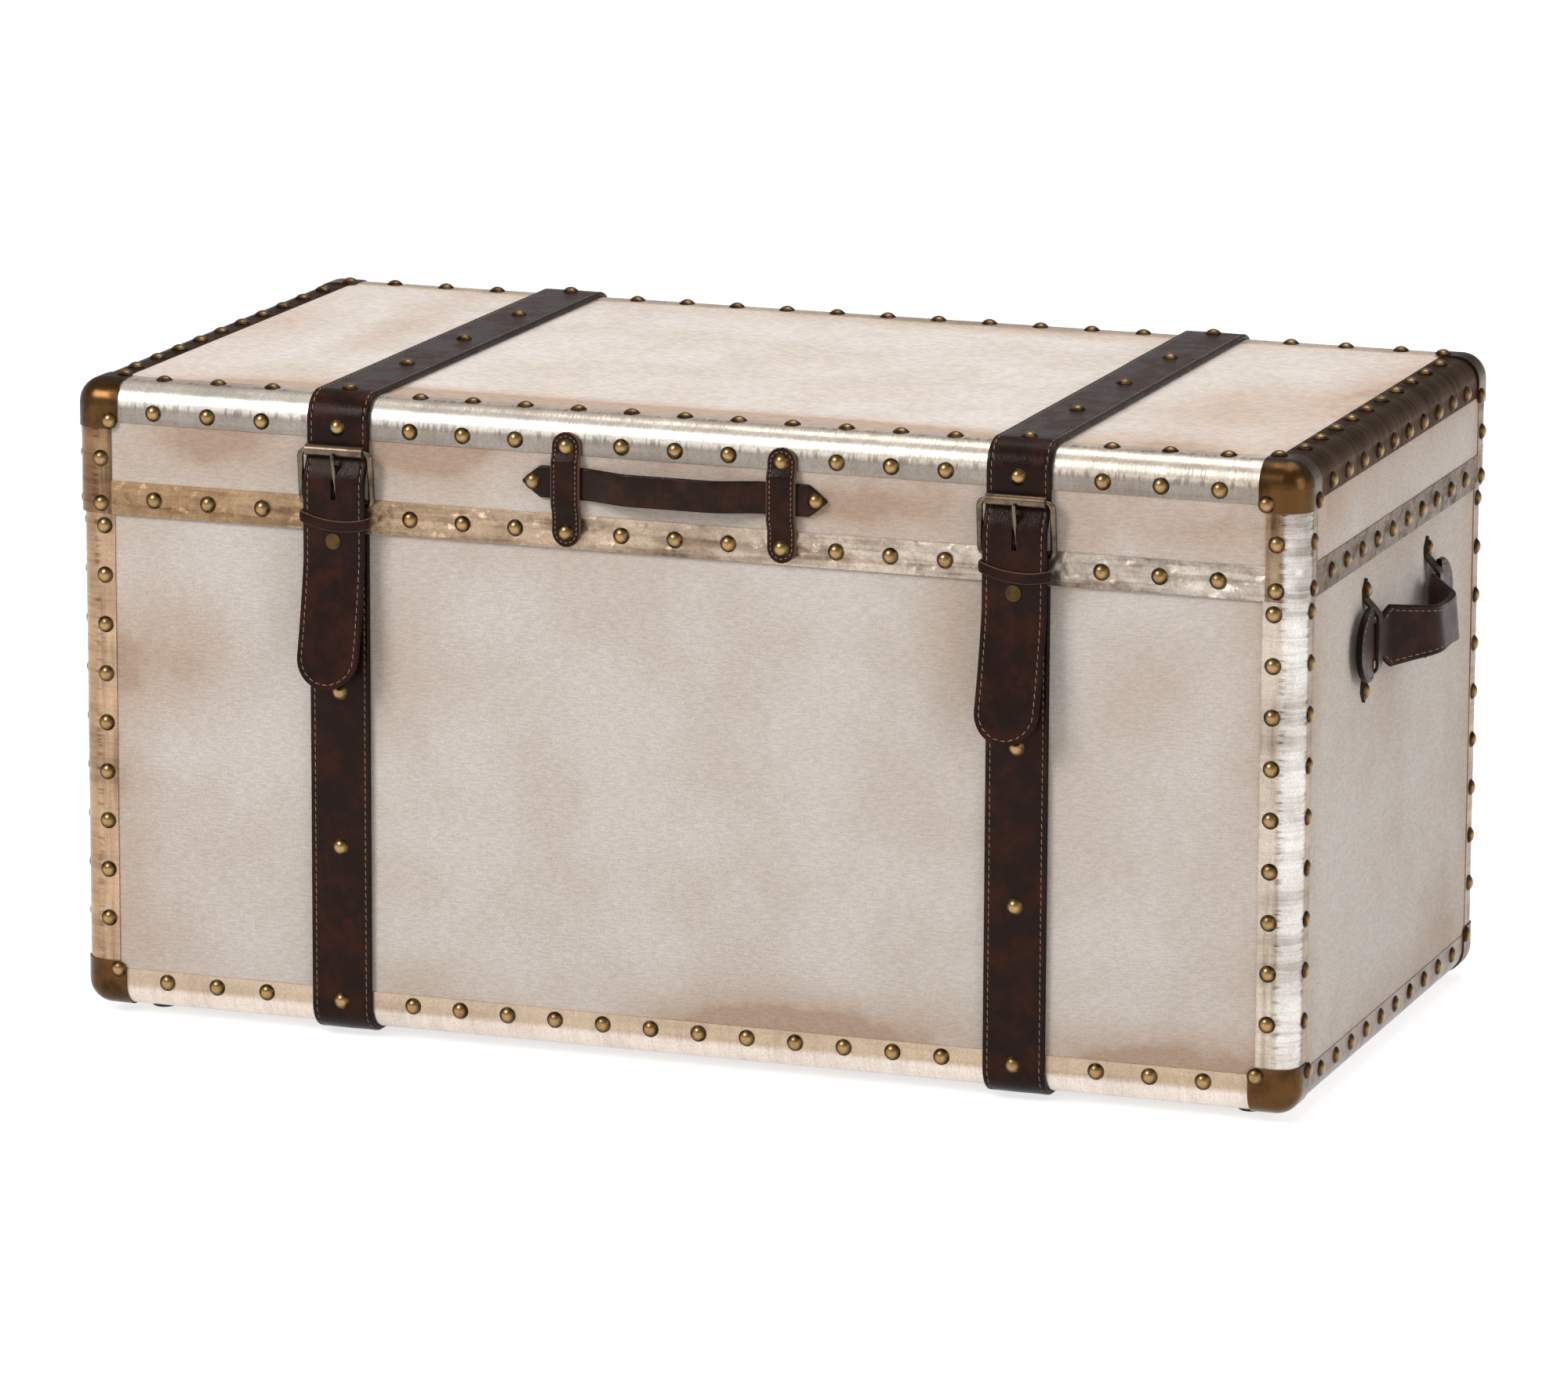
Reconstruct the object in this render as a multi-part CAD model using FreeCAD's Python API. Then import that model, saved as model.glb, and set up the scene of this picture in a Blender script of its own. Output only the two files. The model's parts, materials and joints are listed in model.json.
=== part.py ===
import FreeCAD, Part
import math
import os

# Storage trunk: a plywood chest covered in canvas, edged with thin metal angles,
# capped at its corners and studded with dome nails. Two leather straps run over it,
# each with a roller buckle and a loose tail that snaps onto the strap below.
# Lengths are millimetres. X runs along the front, Y towards the back, Z up.

Vector = FreeCAD.Vector

# Body and lid, measured over their metal edging
body_width = 797.0
body_depth = 413.0
body_height = 317.0
lid_height = 83.6
lid_overhang = 1.5
seam_gap = 0.4
edge_radius = 15.0

# Layers of the walls, from the outside in
trim_thickness = 0.8
canvas_thickness = 1.0
board_thickness = 12.0
lining_thickness = 1.0

# Metal edging and corner caps
trim_flange = 25.0
trim_end_inset = 16.0
band_height = 21.0
cap_size = 29.5
cap_thickness = 1.0
cap_corner_radius = 6.0

# Feet
foot_height = 7.0
foot_radius = 8.0
foot_from_end = 38.5
foot_from_front = 38.5
foot_rounding = 1.5
foot_nail_radius = 1.2

# Dome nails
nail_head_radius = 5.25
nail_head_height = 3.0
nail_rim = 0.4
nail_shank_radius = 0.9
nail_length = 10.0
nail_inset = 18.0
cap_nail_inset = 24.5

# Nail rows, each spread evenly between its ends at about its pitch
upper_row_pitch = 35.0
lower_row_pitch = 31.6
outer_row_pitch = 36.0
side_row_pitch = 33.4
upright_row_pitch = 31.6
row_gap_inside_strap = 47.0
row_gap_outside_strap = 52.0
row_gap_to_end = 54.0
lower_row_gap_to_end = 57.5
side_row_gap_to_end = 56.0
upright_row_rise = 57.0
upright_row_drop = 7.5
band_row_rise = 10.5
lid_upright_rises = (6.5, 35.0)

# Straps over the body and the lid
strap_offset = 221.0
body_strap_width = 40.0
lid_strap_width = 41.0
strap_thickness = 3.0
strap_seat = 0.15
strap_underlap = 46.0
strap_nail_pitch = 99.0
strap_nail_count = 3
strap_under_nail_inset = 30.0
strap_top_nail_pitch = 96.0
strap_rear_end_rise = 13.0
strap_rear_nail_rise = 22.0
strap_top_gap = 0.5

# Buckles: a wire frame with a roller, held by a folded chape on the lid
buckle_wire_radius = 1.6
buckle_inner_width = 41.6
buckle_reach = 35.0
buckle_bend_radius = 3.2
heel_rise = 17.0
roller_radius = 3.75
roller_bore_gap = 0.08
roller_end_gap = 0.3
leather_play = 0.2
roller_strap_gap = 0.3
chape_thickness = 1.8
chape_width = 38.0
chape_bottom_rise = 3.6
chape_slot_width = 7.0
chape_slot_depth = 6.0
prong_radius = 1.4
prong_ring_radius = 3.0
prong_ring_width = 4.0
prong_play = 0.15
prong_length = 34.0
strap_slot_width = 3.8
strap_slot_low_rise = 21.5
strap_slot_high_rise = 42.0

# Strap where it leaves the lid's face and runs over the buckle's heel
strap_bend_high_rise = 47.5
strap_bend_low_rise = 34.5
strap_bend_radius = 12.0
keeper_thickness = 1.8
keeper_bend_radius = 2.2
keeper_height = 7.0
keeper_rise = 3.9
keeper_side_play = 0.3

# Tails and their snaps
tail_top_rise = 3.6
tail_gap = 0.6
tail_bend_drop = 17.0
tail_end_drop = 97.0
tail_flare = 8.6
tail_bend_radius = 60.0
snap_drop = 4.0
snap_cap_radius = 5.0
snap_cap_height = 0.8
snap_post_radius = 1.6
snap_post_play = 0.05
snap_socket_radius = 4.5
snap_socket_height = 1.6
snap_stud_radius = 2.2
snap_stud_base_radius = 4.2
snap_stud_base_height = 1.0
snap_gap = 0.3

# Front handle and its retainers
retainer_offset = 70.0
retainer_width = 19.0
retainer_height = 71.5
retainer_bottom_rise = 1.5
retainer_thickness = 3.0
retainer_nail_inset = 9.0
retainer_ramp = 6.0
retainer_bend_radius = 4.0
front_handle_height = 20.0
front_handle_thickness = 3.0
front_handle_rise = 41.0
front_handle_half_length = 98.5
front_handle_point = 11.5
front_handle_bow = 10.0
front_handle_flat_end = 56.0
front_handle_bow_end = 30.0
front_handle_bend_radius = 30.0

# End handles and their loops
handle_drop = 49.0
loop_offset = 70.0
loop_width = 9.0
loop_plate_width = 11.0
loop_half_height = 39.0
loop_tip = 7.0
loop_nail_offset = 31.5
loop_foot_offset = 26.0
loop_top_offset = 16.0
loop_thickness = 2.0
loop_bend_radius = 3.5
handle_thickness = 4.0
handle_wall_gap = 4.9
handle_loop_gap = 0.3
handle_neck_half_height = 12.0
handle_moon_half_height = 23.5
handle_moon_inner = 77.0
handle_moon_outer = 104.0
handle_neck_end = 58.0
handle_shoulder = 50.0
handle_shoulder_half_height = 19.5
handle_middle_half_height = 13.5
handle_rise_start = 55.0
handle_rise_end = 22.0
handle_bow = 27.0
handle_bend_radius = 22.0

# Hinges at the back
hinge_width = 56.0
hinge_leaf_height = 18.5
hinge_leaf_thickness = 1.5
hinge_knuckle_radius = 3.2
hinge_pin_radius = 1.6
hinge_pin_gap = 0.05
hinge_knuckle_count = 5
hinge_knuckle_gap = 0.3
hinge_stand = 0.2
hinge_web_height = 3.0
hinge_screw_count = 3
hinge_screw_pitch = 19.0
hinge_screw_drop = 11.0
screw_head_radius = 3.0
screw_shank_radius = 1.4
screw_length = 10.0
pin_head_radius = 2.6
pin_head_height = 1.0
pin_end_gap = 0.3

# Folding stays inside both ends: two flat arms that make a parallelogram
# with the hinge pin, so the lower arm turns exactly as the lid does
stay_body_reach = 80.0
stay_body_drop = 50.0
stay_lid_reach = 140.0
stay_lid_rise = 30.0
stay_arm_width = 14.0
stay_arm_thickness = 2.0
stay_gap = 0.3
stay_rivet_radius = 2.5
stay_rivet_gap = 0.05
stay_rivet_head_radius = 5.0
stay_rivet_head_height = 1.0
stay_bracket_thickness = 1.6
stay_bracket_width = 18.0
stay_bracket_length = 46.0
stay_bracket_screw_offset = 16.0
stay_boss_radius = 8.0

# One overrun serves every cut that has to pass right through
overrun = 5.0

# Straight stretches shorter than this are left out of a bent strip
shortest_side = 0.001

# Sizes that follow from those above
lid_width = body_width + 2 * lid_overhang
lid_depth = body_depth + 2 * lid_overhang
body_base = foot_height
seam = body_base + body_height
lid_base = seam + seam_gap
lid_top = lid_base + lid_height
wall = trim_thickness + canvas_thickness + board_thickness
skin = trim_thickness + canvas_thickness
strap_stand = strap_seat + strap_thickness
strap_middle = strap_seat + strap_thickness / 2
heel_out = chape_thickness + leather_play + buckle_wire_radius
chape_front_out = heel_out + buckle_wire_radius + leather_play + chape_thickness
strap_bulge = chape_front_out + leather_play + strap_thickness / 2
roller_out = strap_stand + roller_strap_gap + roller_radius
heel_height = lid_base + heel_rise
buckle_tilt = math.asin((roller_out - heel_out) / buckle_reach)
buckle_outer_width = buckle_inner_width + 4 * buckle_wire_radius
tail_top = lid_base + tail_top_rise
hinge_axis_y = lid_depth / 2 + hinge_stand + hinge_knuckle_radius
hinge_offset = (strap_offset + lid_strap_width / 2 + body_width / 2 - trim_flange) / 2
hinge_axis_z = seam + seam_gap / 2
handle_height = seam - handle_drop
handle_middle = handle_wall_gap + handle_thickness / 2 - trim_thickness
loop_inner = handle_middle + handle_thickness / 2 + handle_loop_gap
loop_middle = loop_inner + loop_thickness / 2

parts = {}


def block(x_span, y_span, z_span):
    """A box between two corners."""
    size = [span[1] - span[0] for span in (x_span, y_span, z_span)]
    return Part.makeBox(size[0], size[1], size[2], Vector(x_span[0], y_span[0], z_span[0]))


def mirrored(shape, across):
    """The mirror image of a shape across one of the middle planes."""
    return shape.mirror(Vector(0, 0, 0), across)


def moved(shape, offset):
    """A copy of a shape, moved."""
    copy = shape.copy()
    copy.translate(offset)
    return copy


def both_ways(values):
    """Each value and its negative, and zero once."""
    return [sign * value for value in values for sign in (-1, 1) if value or sign > 0]


def fitted_row(start, end, pitch):
    """Even places from start to end, about one pitch apart."""
    gaps = round((end - start) / pitch)
    if gaps < 1:
        return [(start + end) / 2]
    return [start + (end - start) * index / gaps for index in range(gaps + 1)]


def centred_row(count, pitch):
    """Evenly spaced places about the middle."""
    return [(index - (count - 1) / 2) * pitch for index in range(count)]


# Ribbons: leather and metal strips bent along a line of corners with rounded bends

def offset_edges(points, radii, offset):
    """Edges of a line with rounded corners, moved sideways to the left by offset."""
    edges = []
    directions = [(end - start).normalize() for start, end in zip(points, points[1:])]
    normals = [Vector(-way.y, way.x, 0) for way in directions]
    current = points[0] + normals[0] * offset
    for index, radius in enumerate(radii):
        corner = points[index + 1]
        way_in, way_out = directions[index], directions[index + 1]
        turn = math.atan2(way_in.cross(way_out).z, way_in.dot(way_out))
        side = math.copysign(1, turn)
        reach = radius * math.tan(abs(turn) / 2)
        centre = corner - way_in * reach + normals[index] * (radius * side)
        start = corner - way_in * reach + normals[index] * offset
        end = corner + way_out * reach + normals[index + 1] * offset
        middle = centre + (corner - centre).normalize() * (radius - side * offset)
        if (start - current).Length > shortest_side:
            edges.append(Part.LineSegment(current, start).toShape())
        edges.append(Part.Arc(start, middle, end).toShape())
        current = end
    edges.append(Part.LineSegment(current, points[-1] + normals[-1] * offset).toShape())
    return edges


def ribbon(points, radii, thickness, width, origin, along, outward):
    """A strip of one thickness bent along points given as (along, outward) pairs."""
    path = [Vector(pair[0], pair[1], 0) for pair in points]
    left = offset_edges(path, radii, thickness / 2)
    right = offset_edges(path, radii, -thickness / 2)
    first = Part.LineSegment(left[0].Vertexes[0].Point, right[0].Vertexes[0].Point).toShape()
    last = Part.LineSegment(left[-1].Vertexes[-1].Point, right[-1].Vertexes[-1].Point).toShape()
    wire = Part.Wire(Part.sortEdges(left + right + [first, last])[0])
    strip = Part.Face(wire).extrude(Vector(0, 0, width))
    strip.translate(Vector(0, 0, -width / 2))
    across = along.cross(outward)
    strip.Placement = FreeCAD.Placement(
        origin, FreeCAD.Rotation(along, outward, across, "XYZ")
    ).multiply(strip.Placement)
    return strip


def outline_prism(points, arcs, depth, origin, along, upward):
    """A prism of an outline in the plane of along and upward, centred in its depth.

    A place in arcs gives the point that the side leaving that corner bulges through.
    """
    corners = [Vector(pair[0], pair[1], 0) for pair in points]
    edges = []
    for index, start in enumerate(corners):
        end = corners[(index + 1) % len(corners)]
        if index in arcs:
            middle = Vector(arcs[index][0], arcs[index][1], 0)
            edges.append(Part.Arc(start, middle, end).toShape())
        else:
            edges.append(Part.LineSegment(start, end).toShape())
    prism = Part.Face(Part.Wire(edges)).extrude(Vector(0, 0, depth))
    prism.translate(Vector(0, 0, -depth / 2))
    across = along.cross(upward)
    prism.Placement = FreeCAD.Placement(
        origin, FreeCAD.Rotation(along, upward, across, "XYZ")
    ).multiply(prism.Placement)
    return prism


X_AXIS = Vector(1, 0, 0)
Y_AXIS = Vector(0, 1, 0)
Z_AXIS = Vector(0, 0, 1)


def rod(start, direction, length, radius):
    """A round bar from a point along a direction."""
    return Part.makeCylinder(radius, length, start, direction)


# Tubs: the body and the lid are both an open box with a closed end at height zero

def rounded_block(width, depth, height, inset):
    """The tub's solid outside shape, taken in by an inset on every closed side."""
    half_x = width / 2 - inset
    half_y = depth / 2 - inset
    solid = block((-half_x, half_x), (-half_y, half_y), (inset, height))
    top = solid.BoundBox.ZMax
    closed = [edge for edge in solid.Edges if edge.CenterOfMass.z < top - board_thickness / 2]
    return solid.makeFillet(edge_radius - inset, closed)


def make_tub(width, depth, height):
    """Boards, covering, lining, edging and caps of one open box, closed end down."""
    half_x = width / 2
    half_y = depth / 2
    all_x = (-half_x, half_x)
    inner_x = (wall - half_x, half_x - wall)
    inner_y = (wall - half_y, half_y - wall)
    all_z = (0, height)
    trim_block = rounded_block(width, depth, height, 0)
    canvas_block = rounded_block(width, depth, height, trim_thickness)
    board_block = rounded_block(width, depth, height, skin)
    pieces = {}
    pieces["front_board"] = board_block.common(block(all_x, (-half_y, wall - half_y), all_z))
    pieces["back_board"] = board_block.common(block(all_x, (half_y - wall, half_y), all_z))
    pieces["left_board"] = board_block.common(block((-half_x, wall - half_x), inner_y, all_z))
    pieces["right_board"] = board_block.common(block((half_x - wall, half_x), inner_y, all_z))
    pieces["panel_board"] = board_block.common(block(inner_x, inner_y, (0, wall)))
    pieces["canvas"] = canvas_block.cut(board_block)
    hollow = block(
        (inner_x[0] + lining_thickness, inner_x[1] - lining_thickness),
        (inner_y[0] + lining_thickness, inner_y[1] - lining_thickness),
        (wall + lining_thickness, height),
    )
    pieces["lining"] = block(inner_x, inner_y, (wall, height)).cut(hollow)

    edging = trim_block.cut(canvas_block)
    long_x = (trim_end_inset - half_x, half_x - trim_end_inset)
    side_y = (trim_flange - half_y, half_y - trim_flange)
    low_z = (0, trim_flange)
    front_y = (-half_y, trim_flange - half_y)
    left_x = (-half_x, trim_flange - half_x)
    front_trim = edging.common(block(long_x, front_y, low_z))
    pieces["long_trims"] = Part.makeCompound([front_trim, mirrored(front_trim, Y_AXIS)])
    left_trim = edging.common(block(left_x, side_y, low_z))
    pieces["end_trims"] = Part.makeCompound([left_trim, mirrored(left_trim, X_AXIS)])
    upright = edging.common(block(left_x, front_y, (trim_flange, height)))
    pieces["corner_trims"] = four_corners(upright)

    cap_skin = rounded_block(width, depth, height, -cap_thickness).cut(trim_block)
    corner = block(
        (-half_x - cap_thickness, cap_size - half_x),
        (-half_y - cap_thickness, cap_size - half_y),
        (-cap_thickness, cap_size),
    )
    inner_corner = Vector(cap_size - half_x, cap_size - half_y, cap_size)
    inner_edges = []
    for edge in corner.Edges:
        if min((vertex.Point - inner_corner).Length for vertex in edge.Vertexes) < cap_thickness:
            inner_edges.append(edge)
    corner = corner.makeFillet(cap_corner_radius, inner_edges)
    pieces["corner_caps"] = four_corners(cap_skin.common(corner))
    return pieces


def four_corners(shape):
    """A piece at one corner, repeated at all four."""
    left_pair = [shape, mirrored(shape, Y_AXIS)]
    right_pair = [mirrored(piece, X_AXIS) for piece in left_pair]
    return Part.makeCompound(left_pair + right_pair)


def add_body():
    """The body's tub, standing on its feet."""
    names = {
        "front_board": "body_front_board",
        "back_board": "body_back_board",
        "left_board": "body_left_board",
        "right_board": "body_right_board",
        "panel_board": "body_bottom_board",
        "canvas": "body_canvas",
        "lining": "body_lining",
        "long_trims": "bottom_long_trims",
        "end_trims": "bottom_end_trims",
        "corner_trims": "body_corner_trims",
        "corner_caps": "bottom_corner_caps",
    }
    pieces = make_tub(body_width, body_depth, body_height)
    for piece, name in names.items():
        parts[name] = moved(pieces[piece], Vector(0, 0, body_base))


def add_lid():
    """The lid's tub, turned over onto the body, with its lower band."""
    names = {
        "front_board": "lid_front_board",
        "back_board": "lid_back_board",
        "left_board": "lid_left_board",
        "right_board": "lid_right_board",
        "panel_board": "lid_top_board",
        "canvas": "lid_canvas",
        "lining": "lid_lining",
        "long_trims": "top_long_trims",
        "end_trims": "top_end_trims",
        "corner_trims": "lid_corner_trims",
        "corner_caps": "top_corner_caps",
    }
    pieces = make_tub(lid_width, lid_depth, lid_height)
    for piece, name in names.items():
        parts[name] = moved(mirrored(pieces[piece], Z_AXIS), Vector(0, 0, lid_top))
    half_x = lid_width / 2
    half_y = lid_depth / 2
    band_z = (lid_base, lid_base + band_height)
    band_x = (trim_flange - half_x, half_x - trim_flange)
    band_y = (trim_flange - half_y, half_y - trim_flange)
    front = block(band_x, (-half_y, trim_thickness - half_y), band_z)
    left = block((-half_x, trim_thickness - half_x), band_y, band_z)
    strips = [front, mirrored(front, Y_AXIS), left, mirrored(left, X_AXIS)]
    parts["lid_band"] = Part.makeCompound(strips)


def add_feet():
    """Four round glides, each with its own nail into the bottom board."""
    glide = rod(Vector(0, 0, 0), Z_AXIS, foot_height + trim_thickness, foot_radius)
    rim = [edge for edge in glide.Edges if edge.CenterOfMass.z < foot_rounding]
    rim = [edge for edge in rim if edge.Closed]
    glide = glide.makeFillet(foot_rounding, rim)
    shank = rod(Vector(0, 0, foot_height), Z_AXIS, nail_length, foot_nail_radius)
    glide = glide.fuse(shank)
    place = Vector(foot_from_end - body_width / 2, foot_from_front - body_depth / 2, 0)
    parts["feet"] = four_corners(moved(glide, place))


# Nails: one dome-headed nail, copied to every place with its head facing outwards

def make_nail():
    """A dome nail pointing up, its head's underside at height zero."""
    sphere_radius = (nail_head_radius ** 2 + nail_head_height ** 2) / (2 * nail_head_height)
    half_way = math.asin(nail_head_radius / sphere_radius) / 2
    shoulder = Vector(nail_head_radius, 0, nail_rim)
    crown = Vector(0, 0, nail_head_height)
    dome_drop = (nail_head_height - nail_rim) * (1 - math.cos(half_way)) / (1 - math.cos(2 * half_way))
    dome_reach = nail_head_radius * math.sin(half_way) / math.sin(2 * half_way)
    dome_middle = Vector(dome_reach, 0, nail_head_height - dome_drop)
    rim_foot = Vector(nail_head_radius, 0, 0)
    shank_top = Vector(nail_shank_radius, 0, 0)
    shank_end = Vector(nail_shank_radius, 0, nail_shank_radius - nail_length)
    point = Vector(0, 0, -nail_length)
    edges = [
        Part.Arc(crown, dome_middle, shoulder).toShape(),
        Part.LineSegment(shoulder, rim_foot).toShape(),
        Part.LineSegment(rim_foot, shank_top).toShape(),
        Part.LineSegment(shank_top, shank_end).toShape(),
        Part.LineSegment(shank_end, point).toShape(),
        Part.LineSegment(point, crown).toShape(),
    ]
    return Part.Face(Part.Wire(edges)).revolve(Vector(0, 0, 0), Z_AXIS, 360)


def placed_nails(places):
    """Nails at (point, outward normal) places, as separate solids in one group."""
    nail = make_nail()
    copies = []
    for point, normal in places:
        copy = nail.copy()
        copy.Placement = FreeCAD.Placement(point, FreeCAD.Rotation(Z_AXIS, normal))
        copies.append(copy)
    return Part.makeCompound(copies)


def on_side(side, width, depth, along, height, stand=0):
    """A nail's place on an upright side: along it, at a height, standing off it."""
    half_x = width / 2 + stand
    half_y = depth / 2 + stand
    places = {
        "front": (Vector(along, -half_y, height), -Y_AXIS),
        "back": (Vector(along, half_y, height), Y_AXIS),
        "left": (Vector(-half_x, along, height), -X_AXIS),
        "right": (Vector(half_x, along, height), X_AXIS),
    }
    return places[side]


def outer_row(width, gap_to_end):
    """Places past the straps, on both sides of the middle."""
    start = strap_offset + row_gap_outside_strap
    return both_ways(fitted_row(start, width / 2 - gap_to_end, outer_row_pitch))


def side_row(depth):
    """Places along an end wall, between its corners."""
    end = depth / 2 - side_row_gap_to_end
    return fitted_row(-end, end, side_row_pitch)


def add_body_nails():
    """Every dome nail that is driven into the body."""
    size = (body_width, body_depth)
    places = []
    low = body_base + nail_inset
    inner_end = strap_offset - row_gap_inside_strap
    lower_row = fitted_row(-inner_end, inner_end, lower_row_pitch)
    lower_row += outer_row(body_width, lower_row_gap_to_end)
    uprights = fitted_row(
        body_base + upright_row_rise, seam - upright_row_drop, upright_row_pitch
    )
    for side in ("front", "back"):
        places += [on_side(side, *size, x, low) for x in lower_row]
        for x in both_ways([body_width / 2 - nail_inset]):
            places += [on_side(side, *size, x, z) for z in uprights]
        for x in both_ways([body_width / 2 - cap_nail_inset]):
            places.append(on_side(side, *size, x, body_base + cap_nail_inset, cap_thickness))
    for side in ("left", "right"):
        places += [on_side(side, *size, y, low) for y in side_row(body_depth)]
        for y in both_ways([body_depth / 2 - nail_inset]):
            places += [on_side(side, *size, y, z) for z in uprights]
        for y in both_ways([body_depth / 2 - cap_nail_inset]):
            places.append(on_side(side, *size, y, body_base + cap_nail_inset, cap_thickness))
        for y in both_ways([loop_offset]):
            for z in both_ways([loop_nail_offset]):
                stand = loop_thickness - trim_thickness
                places.append(on_side(side, *size, y, handle_height + z, stand))
    for x in both_ways([strap_offset]):
        places.append(on_side("back", *size, x, low))
        for index in range(strap_nail_count):
            height = low + index * strap_nail_pitch
            places.append(on_side("front", *size, x, height, strap_stand))
        under = Vector(x, strap_under_nail_inset - body_depth / 2, body_base - strap_stand)
        places.append((under, -Z_AXIS))
    parts["body_nails"] = placed_nails(places)


def clear_of_hinges(x):
    """Whether a nail at x on the back keeps off the hinge leaves."""
    reach = hinge_width / 2 + nail_head_radius
    return all(abs(x - hinge) > reach for hinge in (-hinge_offset, 0, hinge_offset))


def add_lid_nails():
    """Every dome nail that is driven into the lid."""
    size = (lid_width, lid_depth)
    places = []
    high = lid_top - nail_inset
    band = lid_base + band_row_rise
    inner_end = strap_offset - row_gap_inside_strap
    full_row = both_ways(fitted_row(0, inner_end, upper_row_pitch))
    full_row += outer_row(lid_width, row_gap_to_end)
    front_row = [x for x in full_row if abs(abs(x) - retainer_offset) > retainer_width / 2]
    end_row = side_row(lid_depth)
    uprights = [lid_base + rise for rise in lid_upright_rises]
    cap_height = lid_top - cap_nail_inset
    for side, row in (("front", front_row), ("back", full_row)):
        places += [on_side(side, *size, x, high) for x in row]
        for x in both_ways([lid_width / 2 - nail_inset]):
            places += [on_side(side, *size, x, z) for z in uprights]
        for x in both_ways([lid_width / 2 - cap_nail_inset]):
            places.append(on_side(side, *size, x, cap_height, cap_thickness))
    places += [on_side("front", *size, x, band) for x in front_row]
    places += [on_side("back", *size, x, band) for x in full_row if clear_of_hinges(x)]
    for side in ("left", "right"):
        places += [on_side(side, *size, y, z) for y in end_row for z in (high, band)]
        for y in both_ways([lid_depth / 2 - nail_inset]):
            places += [on_side(side, *size, y, z) for z in uprights]
        for y in both_ways([lid_depth / 2 - cap_nail_inset]):
            places.append(on_side(side, *size, y, cap_height, cap_thickness))
    for y in both_ways([lid_depth / 2 - nail_inset]):
        places += [(Vector(x, y, lid_top), Z_AXIS) for x in full_row]
    for x in both_ways([lid_width / 2 - nail_inset]):
        places += [(Vector(x, y, lid_top), Z_AXIS) for y in end_row]
    for x in both_ways([lid_width / 2 - cap_nail_inset]):
        for y in both_ways([lid_depth / 2 - cap_nail_inset]):
            places.append((Vector(x, y, lid_top + cap_thickness), Z_AXIS))
    for x in both_ways([strap_offset]):
        for y in both_ways([0, strap_top_nail_pitch, lid_depth / 2 - nail_inset]):
            places.append((Vector(x, y, lid_top + strap_stand), Z_AXIS))
        places.append(on_side("front", *size, x, high, strap_stand))
        places.append(on_side("back", *size, x, high, strap_stand))
        places.append(on_side("back", *size, x, lid_base + strap_rear_nail_rise, strap_stand))
    retainer_bottom = lid_base + retainer_bottom_rise
    retainer_heights = (
        retainer_bottom + retainer_nail_inset,
        retainer_bottom + retainer_height - retainer_nail_inset,
    )
    stand = strap_seat + retainer_thickness
    for x in both_ways([retainer_offset]):
        places += [on_side("front", *size, x, z, stand) for z in retainer_heights]
    handle_nail_x = front_handle_half_length - front_handle_point / 2 - nail_shank_radius
    handle_stand = strap_seat + front_handle_thickness - trim_thickness
    for x in both_ways([handle_nail_x]):
        place = on_side("front", *size, x, lid_base + front_handle_rise, handle_stand)
        places.append(place)
    parts["lid_nails"] = placed_nails(places)


# Straps, tails, keepers and snaps

def add_straps():
    """Straps up the front of the body and over the lid, each side of the middle."""
    body_out = body_depth / 2 + strap_middle
    under = body_base - strap_middle
    body_path = [
        (-body_out, seam - strap_top_gap),
        (-body_out, under),
        (strap_underlap - body_depth / 2, under),
    ]
    lid_out = lid_depth / 2 + strap_middle
    bulge_out = lid_depth / 2 + strap_bulge
    over = lid_top + strap_middle
    lid_path = [
        (lid_out, lid_base + strap_rear_end_rise),
        (lid_out, over),
        (-lid_out, over),
        (-lid_out, lid_base + strap_bend_high_rise),
        (-bulge_out, lid_base + strap_bend_low_rise),
        (-bulge_out, tail_top),
    ]
    corner = edge_radius + strap_middle
    lid_radii = [corner, corner, strap_bend_radius, strap_bend_radius]
    slot = block(
        (-strap_slot_width / 2, strap_slot_width / 2),
        (-lid_depth, strap_seat - lid_depth / 2),
        (lid_base + strap_slot_low_rise, lid_base + strap_slot_high_rise),
    )
    for side, x in (("left", -strap_offset), ("right", strap_offset)):
        place = Vector(x, 0, 0)
        parts["body_strap_" + side] = ribbon(
            body_path, [corner], strap_thickness, body_strap_width, place, Y_AXIS, Z_AXIS
        )
        strap = ribbon(
            lid_path, lid_radii, strap_thickness, lid_strap_width, place, Y_AXIS, Z_AXIS
        )
        parts["lid_strap_" + side] = strap.cut(moved(slot, place))


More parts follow.
